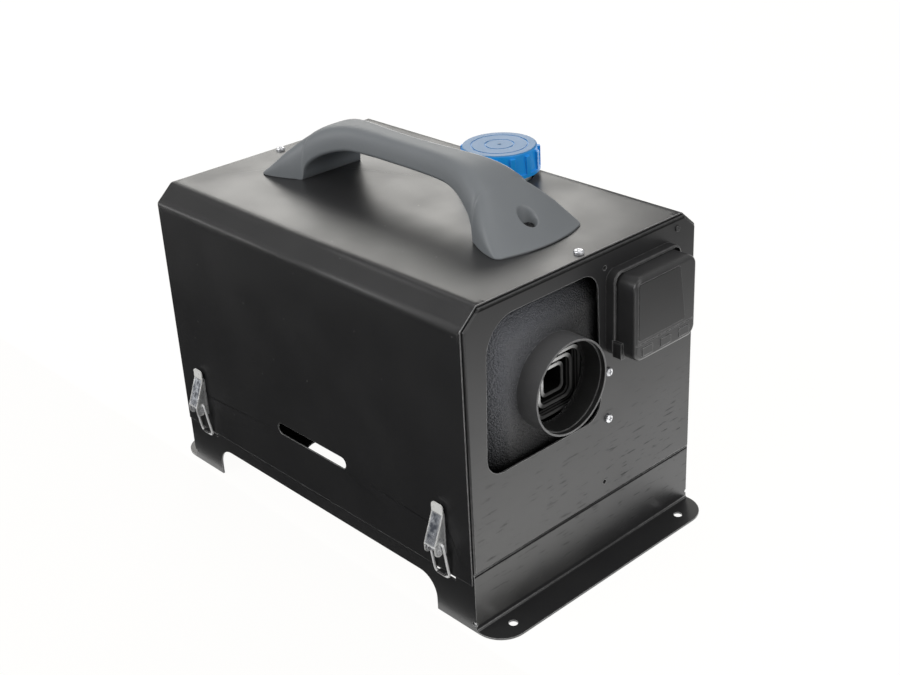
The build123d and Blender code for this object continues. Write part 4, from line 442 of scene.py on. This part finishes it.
zinc = zinc_plate("zinc_plate", (0.42, 0.43, 0.46, 1), (0.8, 0.81, 0.84, 1), (0.85, 0.85, 0.86, 1))
lever_zinc = zinc_plate(
    "lever_zinc", (0.12, 0.13, 0.155, 1), (0.5, 0.52, 0.56, 1), (0.95, 0.95, 0.93, 1),
    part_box("lever_near_outlet")[1][2] - LEVER_LIP, rim_width=0.0024)
# painted shade: the handle's bolts are near black for the shade at the bottom of their recesses; the panel's
# rivet shares this finish
shaded_bolt = zinc_plate(
    "recessed_bolt_in_painted_shade", (0.02, 0.02, 0.021, 1), (0.06, 0.06, 0.062, 1), (0.08, 0.08, 0.08, 1))
wear(zinc, "cover_screws", "divider_screws", "panel_bolts", "controller_screws",
     "latch_plates", "latch_pins", "latch_rivets", "stand_bolts", "foot_nuts")
wear(shaded_bolt, "handle_bolts", "panel_rivet")
wire, tree, shader = new_finish("bright_wire")
grain = use_group(tree, fine_grain, Grain_Size=0.0008, Patch_Size=0.01)
drawn = between(tree, grain["Patches"], (0.9, 0.9, 0.9, 1), (1.0, 1.0, 1.0, 1))
join(tree, drawn, shader, "Base Color")
join(tree, between(tree, grain["Grain"], 0.2, 0.34), shader, "Roughness")
for side in ("near", "far"):
    for end in ("outlet", "intake"):
        wear(lever_zinc, f"lever_{side}_{end}")
        wear(wire, f"bail_{side}_{end}")

# ---------------------------------------------------------------- heater mouldings
# The outlet hood, heater shells, intake guard and fan are black glass-filled nylon with a coarse moulded
# grain and a blue-grey painted sheen towards the upper near corner. The hood's spigot is smoother, painted a
# lighter grey for the light that falls on it, and dark in its bore.
NYLON_CELLS, NYLON_DEPTH = 640.0, 0.0022
NYLON_DARK, NYLON_LIGHT = (0.012, 0.012, 0.0125, 1), (0.026, 0.026, 0.027, 1)
NYLON_SHEEN, NYLON_RUBBED = (0.13, 0.135, 0.15, 1), (0.3, 0.3, 0.3, 1)
SPIGOT_LIT_GREY, BORE_DARK = (0.11, 0.11, 0.112, 1), (0.016, 0.016, 0.016, 1)
SPIGOT_START, SPIGOT_WHOLE = 0.1775, 0.1795
SPIGOT_AXIS, BORE_RADIUS = (-0.0295, 0.1745), 0.0364
SHEEN_LEAN, SHEEN_START, SHEEN_WHOLE = -1.1, 0.215, 0.285

nylon, tree, shader = new_finish("grained_nylon")
grain = use_group(tree, fine_grain, Grain_Size=0.0007, Patch_Size=0.05)
skin = maths(tree, "MULTIPLY", cells(tree, NYLON_CELLS), grain["Grain"])
wear_and_highlight = use_group(tree, edge_wear_and_highlight, Width=0.0007, Amount=0.9)
place = surface_axes(tree)
spigot = ramp(tree, place["X"], SPIGOT_START, SPIGOT_WHOLE)
# painted sheen: blue-grey towards the upper near corner
corner = maths(tree, "MULTIPLY_ADD", place["Y"], SHEEN_LEAN, place["Z"])
painted_sheen = ramp(tree, corner, SHEEN_START, SHEEN_WHOLE)
inside = near_line(tree, place["Y"], place["Z"], SPIGOT_AXIS, BORE_RADIUS)
dark = between(tree, grain["Patches"], NYLON_DARK, NYLON_LIGHT)
dark = between(tree, painted_sheen, dark, NYLON_SHEEN)
# painted light: the spigot is a lighter grey for the light that falls on it
dark = between(tree, spigot, dark, SPIGOT_LIT_GREY)
dark = between(tree, inside, dark, BORE_DARK)
join(tree, between(tree, wear_and_highlight["Mask"], dark, NYLON_RUBBED), shader, "Base Color")
join(tree, between(tree, grain["Patches"], 0.33, 0.42), shader, "Roughness")
join(tree, bump(tree, skin, between(tree, spigot, 1.0, 0.1), NYLON_DEPTH), shader, "Normal")
wear(nylon, "outlet_hood", "heater_upper_shell", "heater_lower_shell", "intake_guard", "heating_fan")

# ---------------------------------------------------------------- castings and inner steel
# The heat exchanger, blower housing and impeller are die-cast aluminium; tube, motor, shaft, pump, plug and
# tank fitting are plain steel. The exchanger is near black, partly blackened by heat and partly painted shade
# deep in the bore; only the ends of the three lips on its nose carry a painted highlight, mostly at their
# upper near corner.
NOSE_LIPS, LIP_HALF = (0.172, 0.169, 0.166), 0.0009
CORNER_START, CORNER_WHOLE, OFF_CORNER = 0.18, 0.19, 0.09

cast, tree, shader = new_finish("cast_aluminium", Metallic=0.9)
grain = use_group(tree, fine_grain, Grain_Size=0.0009, Patch_Size=0.015)
join(tree, between(tree, grain["Patches"], (0.5, 0.5, 0.51, 1), (0.74, 0.74, 0.75, 1)), shader, "Base Color")
join(tree, between(tree, grain["Grain"], 0.38, 0.6), shader, "Roughness")
join(tree, bump(tree, grain["Grain"], 0.6, 0.00015), shader, "Normal")
wear(cast, "blower_housing", "combustion_impeller")

soot_and_shade_finish, tree, shader = new_finish("heat_blackened_and_shaded_casting", Roughness=0.6, Specular_IOR_Level=0.06)
grain = use_group(tree, fine_grain, Grain_Size=0.0009, Patch_Size=0.015)
place = surface_axes(tree)
# painted highlight on the lip ends, mostly at their upper near corner
corner = maths(tree, "SUBTRACT", place["Z"], place["Y"])
shown = ramp(tree, corner, CORNER_START, CORNER_WHOLE, low=OFF_CORNER)
tips = maths(tree, "COMPARE", place["X"], NOSE_LIPS[0], LIP_HALF)
for lip_end in NOSE_LIPS[1:]:
    tips = maths(tree, "MAXIMUM", maths(tree, "COMPARE", place["X"], lip_end, LIP_HALF), tips)
shown = maths(tree, "MULTIPLY", shown, tips)
# near black: partly blackened by heat, partly painted shade deep in the bore
soot_and_shade_tone = between(tree, grain["Patches"], (0.004, 0.004, 0.004, 1), (0.01, 0.01, 0.0095, 1))
tip_highlight = between(tree, grain["Grain"], (0.8, 0.8, 0.79, 1), (0.95, 0.95, 0.94, 1))
join(tree, between(tree, shown, soot_and_shade_tone, tip_highlight), shader, "Base Color")
join(tree, bump(tree, grain["Grain"], 0.3, 0.0001), shader, "Normal")
wear(soot_and_shade_finish, "heat_exchanger")

steel, tree, shader = new_finish("plain_steel", Metallic=1.0)
grain = use_group(tree, fine_grain, Grain_Size=0.0015, Patch_Size=0.02)
join(tree, between(tree, grain["Patches"], (0.36, 0.36, 0.36, 1), (0.5, 0.49, 0.48, 1)), shader, "Base Color")
join(tree, between(tree, grain["Grain"], 0.28, 0.45), shader, "Roughness")
wear(steel, "burner_tube", "blower_motor", "motor_shaft", "glow_plug", "fuel_pump", "tank_fitting")

# ---------------------------------------------------------------- rubber, hoses and gaskets
# Bush, clamp, cap seal, hoses and lead are soft black rubber with a dusty bloom; the gaskets under
# the heater's foot and at the burner are pressed fibre.
rubber, tree, shader = new_finish("black_rubber")
grain = use_group(tree, fine_grain, Grain_Size=0.0012, Patch_Size=0.02)
bloom = between(tree, grain["Patches"], (0.018, 0.018, 0.018, 1), (0.04, 0.04, 0.039, 1))
join(tree, bloom, shader, "Base Color")
join(tree, between(tree, grain["Patches"], 0.55, 0.75), shader, "Roughness")
join(tree, bump(tree, grain["Grain"], 0.3, 0.0001), shader, "Normal")
wear(rubber, "power_grommet", "pump_clamp", "cap_seal", "suction_hoses", "control_lead")

fibre, tree, shader = new_finish("fibre_gasket")
grain = use_group(tree, fine_grain, Grain_Size=0.0008, Patch_Size=0.01)
join(tree, between(tree, grain["Grain"], (0.12, 0.11, 0.1, 1), (0.26, 0.25, 0.23, 1)), shader, "Base Color")
join(tree, between(tree, grain["Patches"], 0.75, 0.9), shader, "Roughness")
wear(fibre, "foot_gasket", "burner_gasket")

# ---------------------------------------------------------------- fuel tank and lines
# The tank is blow-moulded in milky plastic, in one piece with the neck that shows below the cap. The
# fuel pipe and the in-line filter are moulded in pale plastic and share its finish.
milky, tree, shader = new_finish("milky_plastic", Subsurface_Weight=0.25)
grain = use_group(tree, fine_grain, Grain_Size=0.002, Patch_Size=0.03)
join(tree, between(tree, grain["Patches"], (0.62, 0.63, 0.6, 1), (0.78, 0.78, 0.74, 1)), shader, "Base Color")
join(tree, between(tree, grain["Grain"], 0.35, 0.5), shader, "Roughness")
join(tree, bump(tree, grain["Grain"], 0.2, 0.0001), shader, "Normal")
wear(milky, "fuel_tank", "delivery_pipe", "fuel_filter")

# ---------------------------------------------------------------- fuel cap
# A blue screw cap moulded in polyethylene: ribbed skirt, flared lower ring, and a top with rings.
# It screws onto the tank's neck, and its top is a darker, greyer blue, a painted reflection.
REFLECTION_START, REFLECTION_WHOLE = 0.0014, 0.0002

cap_blue, tree, shader = new_finish("blue_polyethylene", Specular_IOR_Level=0.3)
grain = use_group(tree, fine_grain, Grain_Size=0.0014, Patch_Size=0.02)
wear_and_highlight = use_group(tree, edge_wear_and_highlight, Width=0.0008, Amount=0.45)
cap_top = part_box("fuel_cap")[1][2]
# painted reflection: the top is a darker, greyer blue
on_top = ramp(tree, surface_axes(tree)["Z"], cap_top - REFLECTION_START, cap_top - REFLECTION_WHOLE)
blue = between(tree, grain["Patches"], (0.003, 0.26, 0.72, 1), (0.012, 0.34, 0.86, 1))
top_painted_reflection = between(tree, grain["Patches"], (0.01, 0.085, 0.2, 1), (0.07, 0.13, 0.2, 1))
blue = between(tree, on_top, blue, top_painted_reflection)
join(tree, between(tree, wear_and_highlight["Mask"], blue, (0.16, 0.36, 0.62, 1)), shader, "Base Color")
join(tree, between(tree, grain["Patches"], 0.3, 0.42), shader, "Roughness")
join(tree, bump(tree, grain["Grain"], 0.25, 0.0001), shader, "Normal")
wear(cap_blue, "fuel_cap")

# ---------------------------------------------------------------- carrying handle
# A grey nylon handle, one moulding: a slim rounded grip that drops into two wide flared feet with bowed ends,
# each foot with a round recess over its bolt. The mould's seam runs along the far side of the grip, painted
# pale as a highlight.

# in metres: where the handle and its recesses are on the case
HANDLE_MIDDLE = (0.0012, -0.0022)
COVER_TOP, RECESS_ABOVE_COVER = 0.2654, 0.0015
RECESS_X, RECESS_Y, RECESS_FLOOR = 0.131, -0.003, 0.2741
RECESS_RIM, RECESS_SLOPE = 0.0083, 0.0036
FOOT_BOW, SEAM_RADIUS = 0.0095, 0.0003
# in millimetres: the slices
HANDLE_STATIONS = (
    # distance from the middle, half width, top, underside
    (0, 12.9, 314.3, 295.3), (15, 13.0, 314.4, 295.3), (32, 13.5, 314.7, 295.3), (48, 14.7, 314.9, 295.2),
    (60, 16.4, 314.8, 294.6), (70, 18.9, 314.2, 292.8), (80, 22.3, 312.7, 289.6), (88, 25.4, 310.5, 285.9),
    (94, 27.8, 308.1, 281.9), (98.5, 29.8, 305.8, 277.0), (101, 31.0, 304.3, 271.8),
    (102.4, 31.7, 303.4, 265.5), (109, 34.8, 298.9, 265.5), (116, 37.8, 293.7, 265.5),
    (123, 40.2, 288.3, 265.5), (131, 42.5, 281.9, 265.5), (138, 44.0, 276.2, 265.5),
    (144, 44.9, 271.5, 265.5), (148, 44.9, 268.7, 265.5), (150, 43.8, 267.5, 265.5),
    (150.8, 42.4, 266.9, 265.5), (151, 41.6, 265.7, 265.5),
)
UNDERSIDE_ON_COVER, ABOVE_UNDERSIDE = 265.5, 2
FOOT_START, FOOT_LENGTH, FOOT_HALF_WIDTH = 102.4, 48.6, 45
SQUARE_START, SQUARE_LENGTH = 95, 30
UNDER_ROUND, UNDER_ROUND_RISE = 3.2, 8
SEAM_REACH, SEAM_STEP = 96, 2
# shares, powers and counts
GRIP_POWER, FOOT_POWER_DROP, BOW_POWER = 0.62, 0.2, 0.8
FLAT_UNDER, UNDER_REACH, SIDE_LEAN = 0.5, 0.9, 0.05
UNDER_STEPS, SIDE_STEPS, POINTS_AROUND = 9, 60, 110
SEAM_SLOPE, SEAM_SIDES = 1.75, 8


def along_curve(table, at):
    """Values between a table's rows, on a smooth curve through them."""
    last = len(table) - 2
    row = next((n for n in range(last + 1) if at <= table[n + 1][0]), last)
    p1, p2 = table[row], table[row + 1]
    p0 = table[row - 1] if row else p1
    p3 = table[row + 2] if row < last else p2
    span = p2[0] - p1[0]
    t = (at - p1[0]) / span
    values = []
    for n in range(1, len(p1)):
        lead = (p2[n] - p0[n]) / max(p2[0] - p0[0], 1e-9) * span
        trail = (p3[n] - p1[n]) / max(p3[0] - p1[0], 1e-9) * span
        rise = p2[n] - p1[n]
        bend = 3 * rise - 2 * lead - trail
        twist = lead + trail - 2 * rise
        values.append(p1[n] + lead * t + bend * t * t + twist * t ** 3)
    return values


def even_steps(points, count):
    """The same line with its points the same distance apart."""
    walked = [0.0]
    for first, second in zip(points, points[1:]):
        walked.append(walked[-1] + math.dist(first, second))
    line, row = [], 0
    for n in range(count + 1):
        goal = walked[-1] * n / count
        while row < len(points) - 2 and walked[row + 1] < goal:
            row += 1
        part = (goal - walked[row]) / max(walked[row + 1] - walked[row], 1e-12)
        line.append(tuple(u + (v - u) * part for u, v in zip(points[row], points[row + 1])))
    return line


def part_way(value, start, length):
    """0 up to start, 1 from a length beyond it, and even in between."""
    return min(1.0, max(0.0, (value - start) / length))


def under_edge(top, under):
    """How far the underside's edge is rounded: not where a foot stands on the cover."""
    return min(UNDER_ROUND, 0.5 * (top - under)) * part_way(under, UNDERSIDE_ON_COVER, UNDER_ROUND_RISE)


def squareness(reach):
    """The power of a slice's rounding: a round grip and squarer feet."""
    return GRIP_POWER - FOOT_POWER_DROP * part_way(abs(reach), SQUARE_START, SQUARE_LENGTH)


def end_bow(reach, across):
    """How far a foot's end draws back towards its sides."""
    bow = FOOT_BOW * part_way(abs(reach), FOOT_START, FOOT_LENGTH) ** BOW_POWER
    return math.copysign(bow * (across / FOOT_HALF_WIDTH) ** 2, reach)


def handle_section(half, top, under, square):
    """Half of one slice, from under the middle round the side to the top, as (across, height)."""
    lower = under_edge(top, under)
    line = [(half * FLAT_UNDER, under), (half - lower * UNDER_REACH, under)]
    for n in range(1, UNDER_STEPS):
        angle = math.radians(90 * n / UNDER_STEPS)
        across = half - lower * UNDER_REACH * (1 - math.sin(angle))
        line.append((across, under + lower * (1 - math.cos(angle))))
    for n in range(SIDE_STEPS + 1):
        angle = math.radians(90 * n / SIDE_STEPS)
        lift = (top - under - lower) * math.sin(angle) ** square
        across = half * math.cos(angle) ** square - SIDE_LEAN * lift * math.cos(angle)
        line.append((across, under + lower + lift))
    return [(0.0, under)] + even_steps(line, POINTS_AROUND)


def recess_drop(x, y, z):
    """Lowers the skin into the bolt recess, over a rounded rim."""
    away = math.hypot(abs(x) - RECESS_X, y - RECESS_Y)
    deep = part_way(RECESS_RIM - away, 0, RECESS_SLOPE)
    deep = deep * deep * (3 - 2 * deep)
    return z + (min(z, RECESS_FLOOR) - z) * deep


def handle_reaches():
    """Where the slices stand along the handle: closer over the recesses and at the tips."""
    reaches = [0.8 * n for n in range(148)] + [118 + 0.4 * n for n in range(66)]
    reaches += [144.6 + 0.8 * n for n in range(8)] + [150.6, 150.8, 150.9, 151.0]
    return [-value for value in reversed(reaches[1:])] + reaches


def handle_ring(reach):
    """One slice of the handle's skin as a ring of points, in metres."""
    half, top, under = along_curve(HANDLE_STATIONS, abs(reach))
    side = handle_section(half, top, under, squareness(reach))
    ring = []
    for across, height in [(-across, height) for across, height in reversed(side[1:])] + side[1:-1]:
        x = HANDLE_MIDDLE[0] + reach / 1000 - end_bow(reach, across)
        y = HANDLE_MIDDLE[1] + across / 1000
        z = height / 1000
        if z > COVER_TOP + RECESS_ABOVE_COVER and height > under + ABOVE_UNDERSIDE:
            z = recess_drop(x, y, z)
        ring.append((x, y, z))
    return ring


def loft(name, slices):
    """A closed skin through rings of points, smooth along its run and flat at both ends."""
    mesh = bmesh.new()
    rings = [[mesh.verts.new(point) for point in ring] for ring in slices]
    for first, second in zip(rings, rings[1:]):
        for n in range(len(first)):
            after = (n + 1) % len(first)
            mesh.faces.new((first[n], second[n], second[after], first[after]))
    mesh.faces.new(rings[0])
    mesh.faces.new(list(reversed(rings[-1])))
    bmesh.ops.recalc_face_normals(mesh, faces=mesh.faces)
    for face in mesh.faces:
        face.smooth = len(face.verts) == 4
    made = bpy.data.objects.new(name, bpy.data.meshes.new(name))
    mesh.to_mesh(made.data)
    mesh.free()
    bpy.context.scene.collection.objects.link(made)
    return made


handle_grey, tree, shader = new_finish("grey_nylon")
grain = use_group(tree, fine_grain, Grain_Size=0.0009, Patch_Size=0.035)
wear_and_highlight = use_group(tree, edge_wear_and_highlight, Width=0.0009, Amount=0.4)
grey = between(tree, grain["Patches"], (0.14, 0.151, 0.161, 1), (0.165, 0.177, 0.187, 1))
join(tree, between(tree, wear_and_highlight["Mask"], grey, (0.25, 0.255, 0.26, 1)), shader, "Base Color")
join(tree, between(tree, grain["Patches"], 0.46, 0.56), shader, "Roughness")
join(tree, bump(tree, grain["Grain"], 0.3, 0.00008), shader, "Normal")
carrying_handle = loft("carrying_handle", [handle_ring(reach) for reach in handle_reaches()])
carrying_handle.data.materials.append(handle_grey)
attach(carrying_handle, "case")
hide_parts("handle")


def seam_point(reach):
    """A point on the mould's parting line, high on the far side of the grip, in metres."""
    half, top, under = along_curve(HANDLE_STATIONS, abs(reach))
    lower = under_edge(top, under)
    lift = top - under - lower
    square = squareness(reach)
    angle = math.atan((SEAM_SLOPE * lift / half) ** (1 / (2 - square)))
    across = half * math.cos(angle) ** square - SIDE_LEAN * lift * math.cos(angle)
    x = HANDLE_MIDDLE[0] + reach / 1000 - end_bow(reach, across)
    y = HANDLE_MIDDLE[1] + across / 1000
    return Vector((x, y, (under + lower + lift * math.sin(angle) ** square) / 1000))


def seam_ring(path, n):
    """The seam's round section at one point of its path, square to its run."""
    run = (path[min(n + 1, len(path) - 1)] - path[max(n - 1, 0)]).normalized()
    side = run.cross(Vector((0, 0, 1))).normalized()
    rise = side.cross(run)
    turns = [math.radians(360 / SEAM_SIDES * k) for k in range(SEAM_SIDES)]
    return [path[n] + (side * math.cos(turn) + rise * math.sin(turn)) * SEAM_RADIUS for turn in turns]


seam_highlight_finish, tree, shader = new_finish("seam_painted_highlight")
grain = use_group(tree, fine_grain, Grain_Size=0.0006, Patch_Size=0.008)
# painted highlight: the seam is pale where the grip's far edge catches the light
pale = between(tree, grain["Patches"], (0.45, 0.46, 0.47, 1), (0.8, 0.81, 0.82, 1))
join(tree, pale, shader, "Base Color")
join(tree, between(tree, grain["Grain"], 0.35, 0.5), shader, "Roughness")
seam_path = [seam_point(reach) for reach in range(-SEAM_REACH, SEAM_REACH + 1, SEAM_STEP)]
seam = loft("handle_seam", [seam_ring(seam_path, n) for n in range(len(seam_path))])
seam.data.materials.append(seam_highlight_finish)
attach(seam, "case")

# ---------------------------------------------------------------- controller
# A small black moulded case on a back plate screwed to the outlet panel, with a smooth overlay over its
# display and three separate keys. The moulding is painted paler on its edges, as a highlight.
satin, tree, shader = new_finish("satin_black_moulding")
grain = use_group(tree, fine_grain, Grain_Size=0.0007, Patch_Size=0.02)
wear_and_highlight = use_group(tree, edge_wear_and_highlight, Width=0.0009, Amount=1.0)
dark = between(tree, grain["Patches"], (0.018, 0.018, 0.0185, 1), (0.032, 0.032, 0.033, 1))
# painted highlight: paler edges
join(tree, between(tree, wear_and_highlight["Mask"], dark, (0.26, 0.26, 0.262, 1)), shader, "Base Color")
join(tree, between(tree, grain["Patches"], 0.28, 0.4), shader, "Roughness")
join(tree, bump(tree, grain["Grain"], 0.3, 0.00006), shader, "Normal")
wear(satin, "controller_plate", "controller_housing", "key_down", "key_power", "key_up")

overlay, tree, shader = new_finish("display_overlay", Specular_IOR_Level=0.42)
grain = use_group(tree, fine_grain, Grain_Size=0.0006, Patch_Size=0.03)
border = use_group(tree, edge_wear_and_highlight, Width=0.0005, Amount=1.0)["Mask"]
dark = between(tree, grain["Patches"], (0.012, 0.012, 0.0125, 1), (0.017, 0.017, 0.0175, 1))
smooth = between(tree, grain["Patches"], 0.3, 0.36)
join(tree, between(tree, border, dark, (0.001, 0.001, 0.001, 1)), shader, "Base Color")
join(tree, between(tree, border, smooth, 0.9), shader, "Roughness")
wear(overlay, "display_window")

# ---------------------------------------------------------------- circuit boards
# Both boards are green fibreglass with a satin lacquer. One is clipped under the heater's upper
# shell; the other stands on pillars from the controller's back plate, with a switch behind each key.
board_green, tree, shader = new_finish("green_board")
grain = use_group(tree, fine_grain, Grain_Size=0.0008, Patch_Size=0.006)
lacquer = between(tree, grain["Patches"], (0.012, 0.1, 0.04, 1), (0.02, 0.18, 0.07, 1))
join(tree, lacquer, shader, "Base Color")
join(tree, between(tree, grain["Grain"], 0.25, 0.45), shader, "Roughness")
wear(board_green, "control_board", "controller_board")
